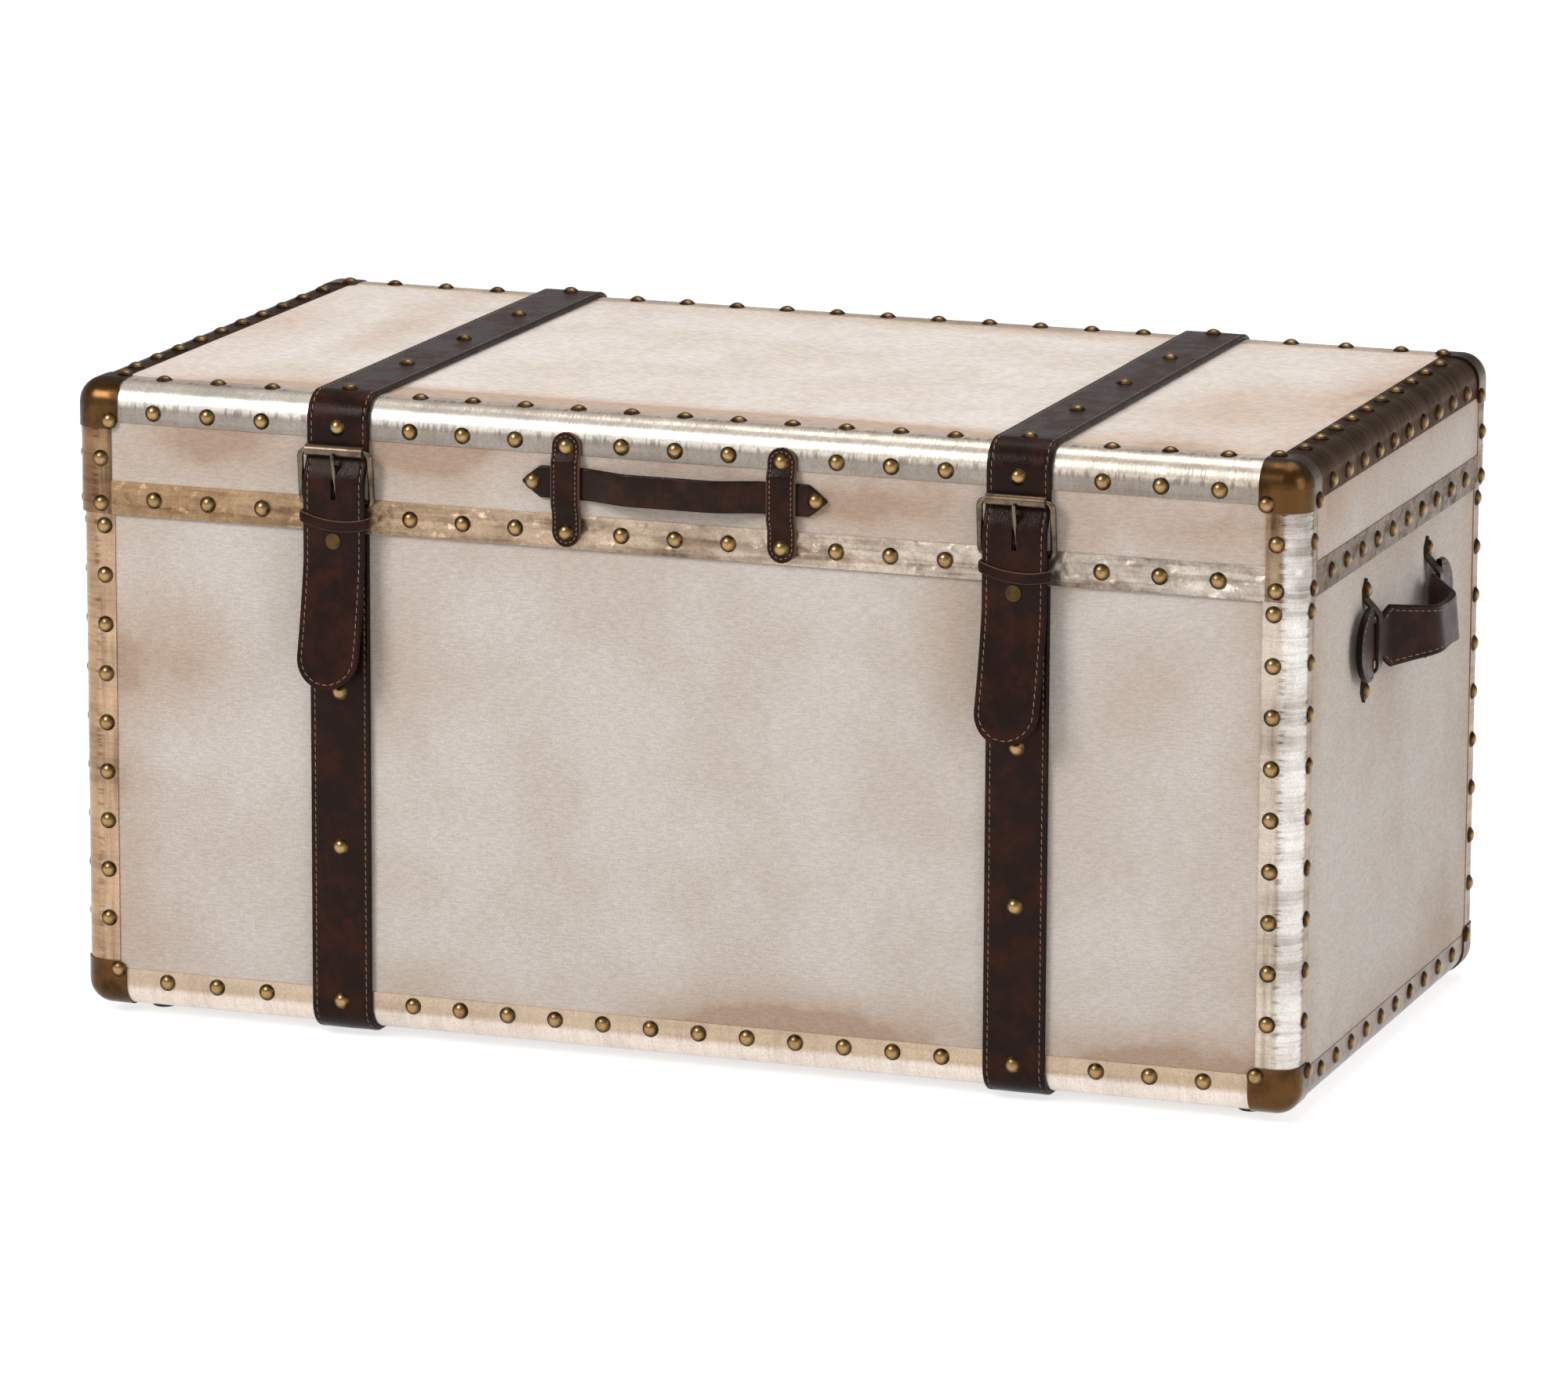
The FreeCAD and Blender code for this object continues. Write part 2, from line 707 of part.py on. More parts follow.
def add_tails():
    """Loose strap ends below the buckles, with their snap fasteners."""
    out = lid_depth / 2 + strap_bulge
    top = tail_top - tail_gap
    path = [
        (-out, top),
        (-out, seam - tail_bend_drop),
        (-out - tail_flare, seam - tail_end_drop),
    ]
    half = lid_strap_width / 2
    arc_start = seam - tail_end_drop + half
    outline = [
        (-half, top + overrun),
        (-half, arc_start),
        (half, arc_start),
        (half, top + overrun),
    ]
    end_arc = {1: (0, seam - tail_end_drop)}
    snap_height = seam - snap_drop
    inner_face = out - strap_thickness / 2
    outer_face = out + strap_thickness / 2
    hole_radius = snap_post_radius + snap_post_play
    stud_foot = body_depth / 2 + strap_stand
    stud_top = inner_face - snap_socket_height - snap_gap
    for side, x in (("left", -strap_offset), ("right", strap_offset)):
        place = Vector(x, 0, 0)
        tail = ribbon(
            path, [tail_bend_radius], strap_thickness, lid_strap_width, place, Y_AXIS, Z_AXIS
        )
        end_shape = outline_prism(outline, end_arc, 2 * lid_depth, place, X_AXIS, Z_AXIS)
        hole = rod(Vector(x, -inner_face + overrun, snap_height), -Y_AXIS, 2 * overrun, hole_radius)
        parts["strap_tail_" + side] = tail.common(end_shape).cut(hole)
        cap = rod(Vector(x, -outer_face, snap_height), -Y_AXIS, snap_cap_height, snap_cap_radius)
        post = rod(Vector(x, -inner_face, snap_height), -Y_AXIS, strap_thickness, snap_post_radius)
        socket_start = Vector(x, snap_socket_height - inner_face, snap_height)
        socket = rod(socket_start, -Y_AXIS, snap_socket_height, snap_socket_radius)
        parts["snap_cap_" + side] = socket.fuse(post).fuse(cap)
    studs = []
    for x in (-strap_offset, strap_offset):
        foot = Vector(x, -stud_foot, snap_height)
        base = rod(foot, -Y_AXIS, snap_stud_base_height, snap_stud_base_radius)
        base = base.common(
            block(
                (x - snap_stud_base_radius, x + snap_stud_base_radius),
                (-lid_depth, 0),
                (0, seam - strap_top_gap),
            )
        )
        post = rod(foot, -Y_AXIS, stud_top - stud_foot, snap_stud_radius)
        studs.append(base.fuse(post))
    parts["snap_studs"] = Part.makeCompound(studs)


def add_keepers():
    """Narrow leather loops that hold the strap down against the chape."""
    face = lid_depth / 2
    back_inner = chape_front_out - chape_thickness - leather_play
    front_inner = strap_bulge + strap_thickness / 2 + leather_play
    half = lid_strap_width / 2 + keeper_side_play
    z_span = (lid_base + keeper_rise, lid_base + keeper_rise + keeper_height)
    outside = block(
        (-half - keeper_thickness, half + keeper_thickness),
        (-face - front_inner - keeper_thickness, -face - back_inner + keeper_thickness),
        z_span,
    )
    upright = [edge for edge in outside.Edges if edge.BoundBox.ZLength > keeper_height / 2]
    outside = outside.makeFillet(keeper_bend_radius, upright)
    inside = block((-half, half), (-face - front_inner, -face - back_inner), z_span)
    loop = outside.cut(inside)
    loops = [moved(loop, Vector(x, 0, 0)) for x in (-strap_offset, strap_offset)]
    parts["strap_keepers"] = Part.makeCompound(loops)


# Buckles

def add_buckles():
    """Chapes, frames, rollers and prongs of both buckles."""
    face = lid_depth / 2
    chape_back = chape_thickness / 2
    chape_front = chape_front_out - chape_thickness / 2
    fold_radius = (chape_front - chape_back) / 2
    fold_top = heel_height + fold_radius
    chape_bottom = lid_base + chape_bottom_rise
    chape_path = [
        (-face - chape_back, chape_bottom),
        (-face - chape_back, fold_top),
        (-face - chape_front, fold_top),
        (-face - chape_front, chape_bottom),
    ]
    slot = block(
        (-chape_slot_width / 2, chape_slot_width / 2),
        (-face - strap_bulge, -face),
        (heel_height - chape_slot_depth, fold_top + chape_thickness),
    )
    chapes = []
    for side, x in (("left", -strap_offset), ("right", strap_offset)):
        place = Vector(x, 0, 0)
        radii = [fold_radius, fold_radius]
        chape = ribbon(chape_path, radii, chape_thickness, chape_width, place, Y_AXIS, Z_AXIS)
        chapes.append(chape.cut(moved(slot, place)))
        heel = Vector(x, -face - heel_out, heel_height)
        tilt = FreeCAD.Placement(heel, FreeCAD.Rotation(X_AXIS, math.degrees(buckle_tilt)))
        parts["buckle_frame_" + side] = tilted(make_frame(), tilt)
        parts["buckle_roller_" + side] = tilted(make_roller(), tilt)
        parts["buckle_prong_" + side] = moved(make_prong(), heel)
    parts["buckle_chapes"] = Part.makeCompound(chapes)


def tilted(shape, placement):
    """A piece built upright at the heel bar, leant outwards with the buckle."""
    shape.Placement = placement.multiply(shape.Placement)
    return shape


def make_frame():
    """A rectangular wire frame, its heel bar on the X axis and its roller bar above."""
    half = buckle_inner_width / 2 + buckle_wire_radius
    bend = buckle_bend_radius
    wire = buckle_wire_radius
    bars = [
        rod(Vector(bend - half, 0, 0), X_AXIS, 2 * (half - bend), wire),
        rod(Vector(bend - half, 0, buckle_reach), X_AXIS, 2 * (half - bend), wire),
        rod(Vector(-half, 0, bend), Z_AXIS, buckle_reach - 2 * bend, wire),
        rod(Vector(half, 0, bend), Z_AXIS, buckle_reach - 2 * bend, wire),
    ]
    bends = []
    for x_side in (-1, 1):
        for z, quarter in ((bend, -1), (buckle_reach - bend, 1)):
            centre = Vector(x_side * (half - bend), 0, z)
            start = centre + Vector(x_side * bend, 0, 0)
            end = centre + Vector(0, 0, quarter * bend)
            bulge = Vector(x_side, 0, quarter).normalize() * bend
            arc = Part.Arc(start, centre + bulge, end).toShape()
            section = Part.Wire(Part.Circle(start, Z_AXIS, wire).toShape())
            bends.append(Part.Wire(arc).makePipeShell([section], True, False))
    frame = bars[0].multiFuse(bars[1:] + bends)
    return frame.removeSplitter()


def make_roller():
    """A tube that turns on the frame's upper bar."""
    half = buckle_inner_width / 2 + buckle_wire_radius - buckle_bend_radius - roller_end_gap
    start = Vector(-half, 0, buckle_reach)
    tube = rod(start, X_AXIS, 2 * half, roller_radius)
    bore = rod(start, X_AXIS, 2 * half, buckle_wire_radius + roller_bore_gap)
    return tube.cut(bore)


def prong_lean():
    """The prong's angle from upright, where it lies against the front of the roller."""
    reach = buckle_reach
    rest = math.asin((roller_radius + prong_radius + prong_play) / reach)
    return buckle_tilt + rest


def make_prong():
    """A pin curled round the heel bar, pointing up and out to the roller."""
    lean = prong_lean()
    direction = Vector(0, -math.sin(lean), math.cos(lean))
    pin = rod(Vector(0, 0, 0), direction, prong_length - prong_radius, prong_radius)
    tip = Part.makeSphere(prong_radius, direction * (prong_length - prong_radius))
    ring_start = Vector(-prong_ring_width / 2, 0, 0)
    ring = rod(ring_start, X_AXIS, prong_ring_width, prong_ring_radius)
    eye_radius = buckle_wire_radius + roller_bore_gap
    eye = rod(ring_start, X_AXIS, prong_ring_width, eye_radius)
    return pin.fuse(tip).fuse(ring).cut(eye)


# Handles

def add_front_handle():
    """A bowed leather strip under two upright retainers, nailed at its pointed ends."""
    face = Vector(0, -lid_depth / 2, lid_base + front_handle_rise)
    rest = strap_seat + front_handle_thickness / 2 - trim_thickness
    bowed = rest + front_handle_bow
    path = [
        (-front_handle_half_length, rest),
        (-front_handle_flat_end, rest),
        (-front_handle_bow_end, bowed),
        (front_handle_bow_end, bowed),
        (front_handle_flat_end, rest),
        (front_handle_half_length, rest),
    ]
    radii = [front_handle_bend_radius] * 4
    strip = ribbon(
        path, radii, front_handle_thickness, front_handle_height, face, X_AXIS, -Y_AXIS
    )
    half = front_handle_half_length
    shoulder = half - front_handle_point
    half_height = front_handle_height / 2
    outline = [
        (-half, 0),
        (-shoulder, -half_height),
        (shoulder, -half_height),
        (half, 0),
        (shoulder, half_height),
        (-shoulder, half_height),
    ]
    shape = outline_prism(outline, {}, 2 * lid_depth, face, X_AXIS, Z_AXIS)
    parts["front_handle"] = strip.common(shape)

    bottom = retainer_bottom_rise - front_handle_rise
    top = bottom + retainer_height
    low = strap_seat + retainer_thickness / 2
    raised = rest + (front_handle_thickness + retainer_thickness) / 2 + leather_play
    ramp_end = front_handle_height / 2 + leather_play + retainer_thickness
    ramp_start = ramp_end + retainer_ramp
    retainer_path = [
        (bottom, low),
        (-ramp_start, low),
        (-ramp_end, raised),
        (ramp_end, raised),
        (ramp_start, low),
        (top, low),
    ]
    half_width = retainer_width / 2
    retainer_outline = [
        (-half_width, bottom + half_width),
        (half_width, bottom + half_width),
        (half_width, top - half_width),
        (-half_width, top - half_width),
    ]
    arcs = {0: (0, bottom), 2: (0, top)}
    retainers = []
    for x in (-retainer_offset, retainer_offset):
        place = face + Vector(x, 0, 0)
        radii = [retainer_bend_radius] * 4
        strip = ribbon(
            retainer_path, radii, retainer_thickness, retainer_width, place, Z_AXIS, -Y_AXIS
        )
        shape = outline_prism(retainer_outline, arcs, 2 * lid_depth, place, X_AXIS, Z_AXIS)
        retainers.append(strip.common(shape))
    parts["front_handle_retainers"] = Part.makeCompound(retainers)


def make_end_handle(wall_place):
    """A bowed leather handle with half-moon ends, on the right-hand end wall."""
    bow = handle_middle + handle_bow
    path = [
        (-handle_moon_outer - overrun, handle_middle),
        (-handle_rise_start, handle_middle),
        (-handle_rise_end, bow),
        (handle_rise_end, bow),
        (handle_rise_start, handle_middle),
        (handle_moon_outer + overrun, handle_middle),
    ]
    radii = [handle_bend_radius] * 4
    width = 2 * handle_moon_half_height + overrun
    strip = ribbon(path, radii, handle_thickness, width, wall_place, Y_AXIS, X_AXIS)
    upper = [
        (handle_moon_inner, -handle_moon_half_height),
        (handle_moon_inner, handle_moon_half_height),
        (handle_moon_inner, handle_neck_half_height),
        (handle_neck_end, handle_neck_half_height),
        (handle_shoulder, handle_shoulder_half_height),
        (0, handle_middle_half_height),
        (-handle_shoulder, handle_shoulder_half_height),
        (-handle_neck_end, handle_neck_half_height),
        (-handle_moon_inner, handle_neck_half_height),
        (-handle_moon_inner, handle_moon_half_height),
    ]
    lower = [
        (-handle_moon_inner, -handle_moon_half_height),
        (-handle_moon_inner, -handle_neck_half_height),
        (-handle_neck_end, -handle_neck_half_height),
        (-handle_shoulder, -handle_shoulder_half_height),
        (0, -handle_middle_half_height),
        (handle_shoulder, -handle_shoulder_half_height),
        (handle_neck_end, -handle_neck_half_height),
        (handle_moon_inner, -handle_neck_half_height),
    ]
    arcs = {0: (handle_moon_outer, 0), len(upper) - 1: (-handle_moon_outer, 0)}
    depth = 2 * (bow + overrun)
    shape = outline_prism(upper + lower, arcs, depth, wall_place, Y_AXIS, Z_AXIS)
    return strip.common(shape)


def make_loop(place):
    """A metal strip that bridges the handle's neck, with a pointed plate at each end."""
    low = loop_thickness / 2 - trim_thickness
    path = [
        (-loop_half_height, low),
        (-loop_foot_offset, low),
        (-loop_top_offset, loop_middle),
        (loop_top_offset, loop_middle),
        (loop_foot_offset, low),
        (loop_half_height, low),
    ]
    radii = [loop_bend_radius] * 4
    strip = ribbon(path, radii, loop_thickness, loop_plate_width, place, Z_AXIS, X_AXIS)
    plate = loop_plate_width / 2
    waist = loop_width / 2
    shoulder = loop_half_height - loop_tip
    outline = [
        (0, -loop_half_height),
        (plate, -shoulder),
        (waist, -loop_foot_offset),
        (waist, loop_foot_offset),
        (plate, shoulder),
        (0, loop_half_height),
        (-plate, shoulder),
        (-waist, loop_foot_offset),
        (-waist, -loop_foot_offset),
        (-plate, -shoulder),
    ]
    depth = 2 * (loop_middle + overrun)
    return strip.common(outline_prism(outline, {}, depth, place, Y_AXIS, Z_AXIS))


def add_end_handles():
    """Handles and loops on both end walls."""
    wall_place = Vector(body_width / 2, 0, handle_height)
    handle = make_end_handle(wall_place)
    loops = [make_loop(wall_place + Vector(0, y, 0)) for y in (-loop_offset, loop_offset)]
    parts["side_handle_right"] = handle
    parts["side_handle_left"] = mirrored(handle, X_AXIS)
    parts["handle_loops_right"] = Part.makeCompound(loops)
    parts["handle_loops_left"] = Part.makeCompound([mirrored(loop, X_AXIS) for loop in loops])


# Hinges

def knuckle_spans():
    """Stretches along the pin taken by each knuckle, from the left."""
    pitch = (hinge_width + hinge_knuckle_gap) / hinge_knuckle_count
    starts = [index * pitch - hinge_width / 2 for index in range(hinge_knuckle_count)]
    return [(start, start + pitch - hinge_knuckle_gap) for start in starts]


def screw_places(height):
    """Middles of the screws in one leaf."""
    return [(x, height) for x in centred_row(hinge_screw_count, hinge_screw_pitch)]


def make_leaf(back_face, plate_z, knuckles, web, screws):
    """A hinge leaf: plate, webs, knuckles, pin bore and countersunk screw holes."""
    half = hinge_width / 2
    leaf = block((-half, half), (back_face, back_face + hinge_leaf_thickness), plate_z)
    for span in knuckles:
        start = Vector(span[0], hinge_axis_y, hinge_axis_z)
        leaf = leaf.fuse(rod(start, X_AXIS, span[1] - span[0], hinge_knuckle_radius))
        leaf = leaf.fuse(block(span, web[0], web[1]))
    bore_start = Vector(-half - overrun, hinge_axis_y, hinge_axis_z)
    bore_radius = hinge_pin_radius + hinge_pin_gap
    leaf = leaf.cut(rod(bore_start, X_AXIS, hinge_width + 2 * overrun, bore_radius))
    for x, z in screws:
        leaf = leaf.cut(make_screw(x, z, back_face + hinge_leaf_thickness))
    return leaf


def make_screw(x, z, face):
    """A countersunk screw whose flat head is flush with a face that looks back."""
    cone = Part.makeCone(
        screw_head_radius, screw_shank_radius, hinge_leaf_thickness, Vector(x, face, z), -Y_AXIS
    )
    shank_start = Vector(x, face - hinge_leaf_thickness, z)
    return cone.fuse(rod(shank_start, -Y_AXIS, screw_length, screw_shank_radius))


def add_hinges():
    """Three butt hinges across the seam at the back, with their pins and screws."""
    spans = knuckle_spans()
    body_face = body_depth / 2 - trim_thickness
    lid_face = lid_depth / 2
    clear = hinge_knuckle_radius + hinge_knuckle_gap
    body_plate_top = hinge_axis_z - clear
    body_plate = (body_plate_top - hinge_leaf_height, body_plate_top)
    lid_plate = (hinge_axis_z + clear, hinge_axis_z + hinge_leaf_height)
    body_web_top = hinge_axis_z - hinge_pin_radius - hinge_pin_gap
    body_web = (
        (body_face, hinge_axis_y),
        (body_plate_top - hinge_web_height, body_web_top),
    )
    lid_web = (
        (lid_face, lid_face + hinge_leaf_thickness),
        (hinge_axis_z + hinge_pin_radius + hinge_pin_gap, hinge_axis_z + clear + hinge_web_height),
    )
    body_screws = screw_places(body_plate_top - hinge_screw_drop)
    lid_screws = screw_places(hinge_axis_z + hinge_screw_drop + seam_gap)
    body_leaf = make_leaf(body_face, body_plate, spans[0::2], body_web, body_screws)
    lid_leaf = make_leaf(lid_face, lid_plate, spans[1::2], lid_web, lid_screws)
    pin_start = Vector(-hinge_width / 2 - pin_end_gap, hinge_axis_y, hinge_axis_z)
    pin_length = hinge_width + 2 * pin_end_gap
    pin = rod(pin_start, X_AXIS, pin_length, hinge_pin_radius)
    left_head = rod(pin_start, -X_AXIS, pin_head_height, pin_head_radius)
    right_head = rod(pin_start + X_AXIS * pin_length, X_AXIS, pin_head_height, pin_head_radius)
    pin = pin.fuse(left_head).fuse(right_head)
    groups = {
        "hinge_body_leaves": [body_leaf],
        "hinge_lid_leaves": [lid_leaf],
        "hinge_pins": [pin],
        "body_screws": [
            make_screw(x, z, body_face + hinge_leaf_thickness) for x, z in body_screws
        ],
        "lid_screws": [
            make_screw(x, z, lid_face + hinge_leaf_thickness) for x, z in lid_screws
        ],
    }
    for name, solids in groups.items():
        copies = []
        for x in (-hinge_offset, 0, hinge_offset):
            copies += [moved(solid, Vector(x, 0, 0)) for solid in solids]
        parts[name] = Part.makeCompound(copies)


# Stay

def stay_pivots():
    """Places of the body pivot, the lid pivot and the knee, as (back, up) pairs."""
    body_pivot = (hinge_axis_y - stay_body_reach, hinge_axis_z - stay_body_drop)
    lid_pivot = (hinge_axis_y - stay_lid_reach, hinge_axis_z + stay_lid_rise)
    knee = (
        body_pivot[0] + lid_pivot[0] - hinge_axis_y,
        body_pivot[1] + lid_pivot[1] - hinge_axis_z,
    )
    return body_pivot, lid_pivot, knee


def across_rod(x, place, length, radius):
    """A round bar towards the middle of the trunk, from x at a (back, up) place."""
    return rod(Vector(x, place[0], place[1]), -X_AXIS, length, radius)


def make_arm(x, start, end):
    """A flat arm with round ends, its outer face at x."""
    half = stay_arm_width / 2
    way = Vector(0, end[0] - start[0], end[1] - start[1])
    length = way.Length
    bar = block((-stay_arm_thickness, 0), (0, length), (-half, half))
    bar.Placement = FreeCAD.Placement(
        Vector(x, start[0], start[1]), FreeCAD.Rotation(Y_AXIS, way)
    ).multiply(bar.Placement)
    ends = [across_rod(x, place, stay_arm_thickness, half) for place in (start, end)]
    return bar.multiFuse(ends).removeSplitter()


def make_rivet(x, place, grip):
    """A rivet through one arm, its head on the inner side past a running gap."""
    shank = across_rod(x, place, grip, stay_rivet_radius)
    head = across_rod(x - grip, place, stay_rivet_head_height, stay_rivet_head_radius)
    return shank.fuse(head)


def make_bracket(wall_x, place, screws):
    """A plate on an end wall, level along its length, with countersunk screw holes."""
    half = stay_bracket_length / 2
    half_width = stay_bracket_width / 2
    plate = block(
        (wall_x - stay_bracket_thickness, wall_x),
        (place[0] - half, place[0] + half),
        (place[1] - half_width, place[1] + half_width),
    )
    for screw in screws:
        plate = plate.cut(screw)
    return plate


def bracket_screws(wall_x, place):
    """Two countersunk screws through a bracket into its wall."""
    screws = []
    for offset in (-stay_bracket_screw_offset, stay_bracket_screw_offset):
        face = Vector(wall_x - stay_bracket_thickness, place[0] + offset, place[1])
        cone = Part.makeCone(
            screw_head_radius, screw_shank_radius, stay_bracket_thickness, face, X_AXIS
        )
        shank = rod(Vector(wall_x, face.y, face.z), X_AXIS, screw_length, screw_shank_radius)
        screws.append(cone.fuse(shank))
    return screws


def both_ends(shapes):
    """Pieces at the right-hand end, with their mirror images at the left."""
    return Part.makeCompound(shapes + [mirrored(shape, X_AXIS) for shape in shapes])


def add_stays():
    """Brackets, arms and rivets of the lid stays, and the screws that hold them."""
    body_pivot, lid_pivot, knee = stay_pivots()
    body_wall = body_width / 2 - wall - lining_thickness
    lid_wall = lid_width / 2 - wall - lining_thickness
    lower_x = body_wall - stay_bracket_thickness - stay_gap
    upper_x = lower_x - stay_arm_thickness - stay_gap
    grip = stay_arm_thickness + 2 * stay_gap
    hole = stay_rivet_radius + stay_rivet_gap
    body_screws = bracket_screws(body_wall, body_pivot)
    lid_screws = bracket_screws(lid_wall, lid_pivot)

    body_rivet = make_rivet(lower_x + stay_gap, body_pivot, grip)
    body_plate = make_bracket(body_wall, body_pivot, body_screws)
    parts["stay_body_brackets"] = both_ends([body_plate.fuse(body_rivet)])
    boss_start = lid_wall - stay_bracket_thickness
    boss = across_rod(boss_start, lid_pivot, boss_start - upper_x - stay_gap, stay_boss_radius)
    lid_rivet = make_rivet(upper_x + stay_gap, lid_pivot, grip)
    lid_plate = make_bracket(lid_wall, lid_pivot, lid_screws)
    parts["stay_lid_brackets"] = both_ends([lid_plate.multiFuse([boss, lid_rivet])])

    lower = make_arm(lower_x, body_pivot, knee)
    lower = lower.cut(across_rod(lower_x, body_pivot, stay_arm_thickness, hole))
    knee_rivet = make_rivet(upper_x + stay_gap, knee, grip)
    parts["stay_lower_arms"] = both_ends([lower.fuse(knee_rivet)])
    upper = make_arm(upper_x, knee, lid_pivot)
    for place in (knee, lid_pivot):
        upper = upper.cut(across_rod(upper_x, place, stay_arm_thickness, hole))
    parts["stay_upper_arms"] = both_ends([upper])
    for name, screws in (("body_screws", body_screws), ("lid_screws", lid_screws)):
        hinge_screws = parts[name].Solids
        parts[name] = Part.makeCompound(hinge_screws + both_ends(screws).Solids)


def main():
    """Build every piece, centre the trunk on its origin and write one file for each."""
    add_body()
    add_lid()
    add_feet()
    add_straps()
    add_tails()
    add_keepers()
    add_buckles()
    add_front_handle()
    add_end_handles()
    add_hinges()
    add_stays()
    add_body_nails()
    add_lid_nails()
    extent = Part.makeCompound(list(parts.values())).optimalBoundingBox(False, False)
    centre = Vector(extent.Center.x, extent.Center.y, 0)
    os.makedirs("parts", exist_ok=True)
    for name, shape in parts.items():
        shape.translate(-centre)
        shape.exportStep("parts/" + name + ".step")
    return centre


origin_shift = main()
print(len(parts), "pieces, shifted by", origin_shift)
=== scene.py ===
"""Dresses the storage trunk: canvas, metal edging, nails, leather, thread and buckles."""

from __future__ import annotations

import json
import logging
import math
from collections.abc import Callable, Iterable, Mapping, Sequence
from dataclasses import dataclass, field, replace
from enum import Enum

import bmesh
import bpy
from mathutils import Matrix, Vector, noise

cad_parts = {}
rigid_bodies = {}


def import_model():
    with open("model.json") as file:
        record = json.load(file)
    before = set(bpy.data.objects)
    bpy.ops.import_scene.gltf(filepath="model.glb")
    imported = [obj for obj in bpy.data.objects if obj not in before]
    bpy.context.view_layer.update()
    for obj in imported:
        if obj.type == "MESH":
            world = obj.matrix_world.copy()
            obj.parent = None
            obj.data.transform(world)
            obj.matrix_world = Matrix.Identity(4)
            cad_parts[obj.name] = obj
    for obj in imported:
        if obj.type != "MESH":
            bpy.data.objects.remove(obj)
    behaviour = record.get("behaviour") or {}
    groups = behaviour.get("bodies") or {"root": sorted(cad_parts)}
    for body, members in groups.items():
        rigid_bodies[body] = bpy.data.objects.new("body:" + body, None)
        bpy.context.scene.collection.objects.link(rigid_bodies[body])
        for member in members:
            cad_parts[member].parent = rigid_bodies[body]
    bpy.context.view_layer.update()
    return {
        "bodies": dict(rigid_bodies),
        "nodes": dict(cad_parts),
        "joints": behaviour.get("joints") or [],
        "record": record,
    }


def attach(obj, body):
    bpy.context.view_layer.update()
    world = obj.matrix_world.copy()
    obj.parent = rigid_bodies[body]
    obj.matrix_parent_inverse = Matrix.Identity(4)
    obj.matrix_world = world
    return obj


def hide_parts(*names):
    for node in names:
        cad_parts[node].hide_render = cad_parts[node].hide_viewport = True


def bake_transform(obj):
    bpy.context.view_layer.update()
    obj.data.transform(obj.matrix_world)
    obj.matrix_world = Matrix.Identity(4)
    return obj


Colour = tuple[float, float, float, float]
Triple = tuple[float, float, float]
Point = tuple[float, float]
BMesh = bmesh.types.BMesh
Socket = bpy.types.NodeSocket
Sockets = Mapping[str, Socket]

MM = 0.001
X_AXIS = Vector((1.0, 0.0, 0.0))
Y_AXIS = Vector((0.0, 1.0, 0.0))
Z_AXIS = Vector((0.0, 0.0, 1.0))
MIDDLE: Triple = (0.0, 0.0062, 0.207)
WHITE: Colour = (1.0, 1.0, 1.0, 1.0)
CLOSE = 1e-6
MERGE = 1e-7

log = logging.getLogger("trunk")


def tone(red: int, green: int, blue: int) -> Colour:
    """Turns a screen colour into the linear colour that a shader takes.

    Args:
        red: Red from 0 to 255.
        green: Green from 0 to 255.
        blue: Blue from 0 to 255.

    Returns:
        The linear colour, opaque.
    """
    parts = []
    for value in (red, green, blue):
        share = value / 255
        low = share <= 0.04045
        parts.append(share / 12.92 if low else ((share + 0.055) / 1.055) ** 2.4)
    return (parts[0], parts[1], parts[2], 1.0)


# Node trees


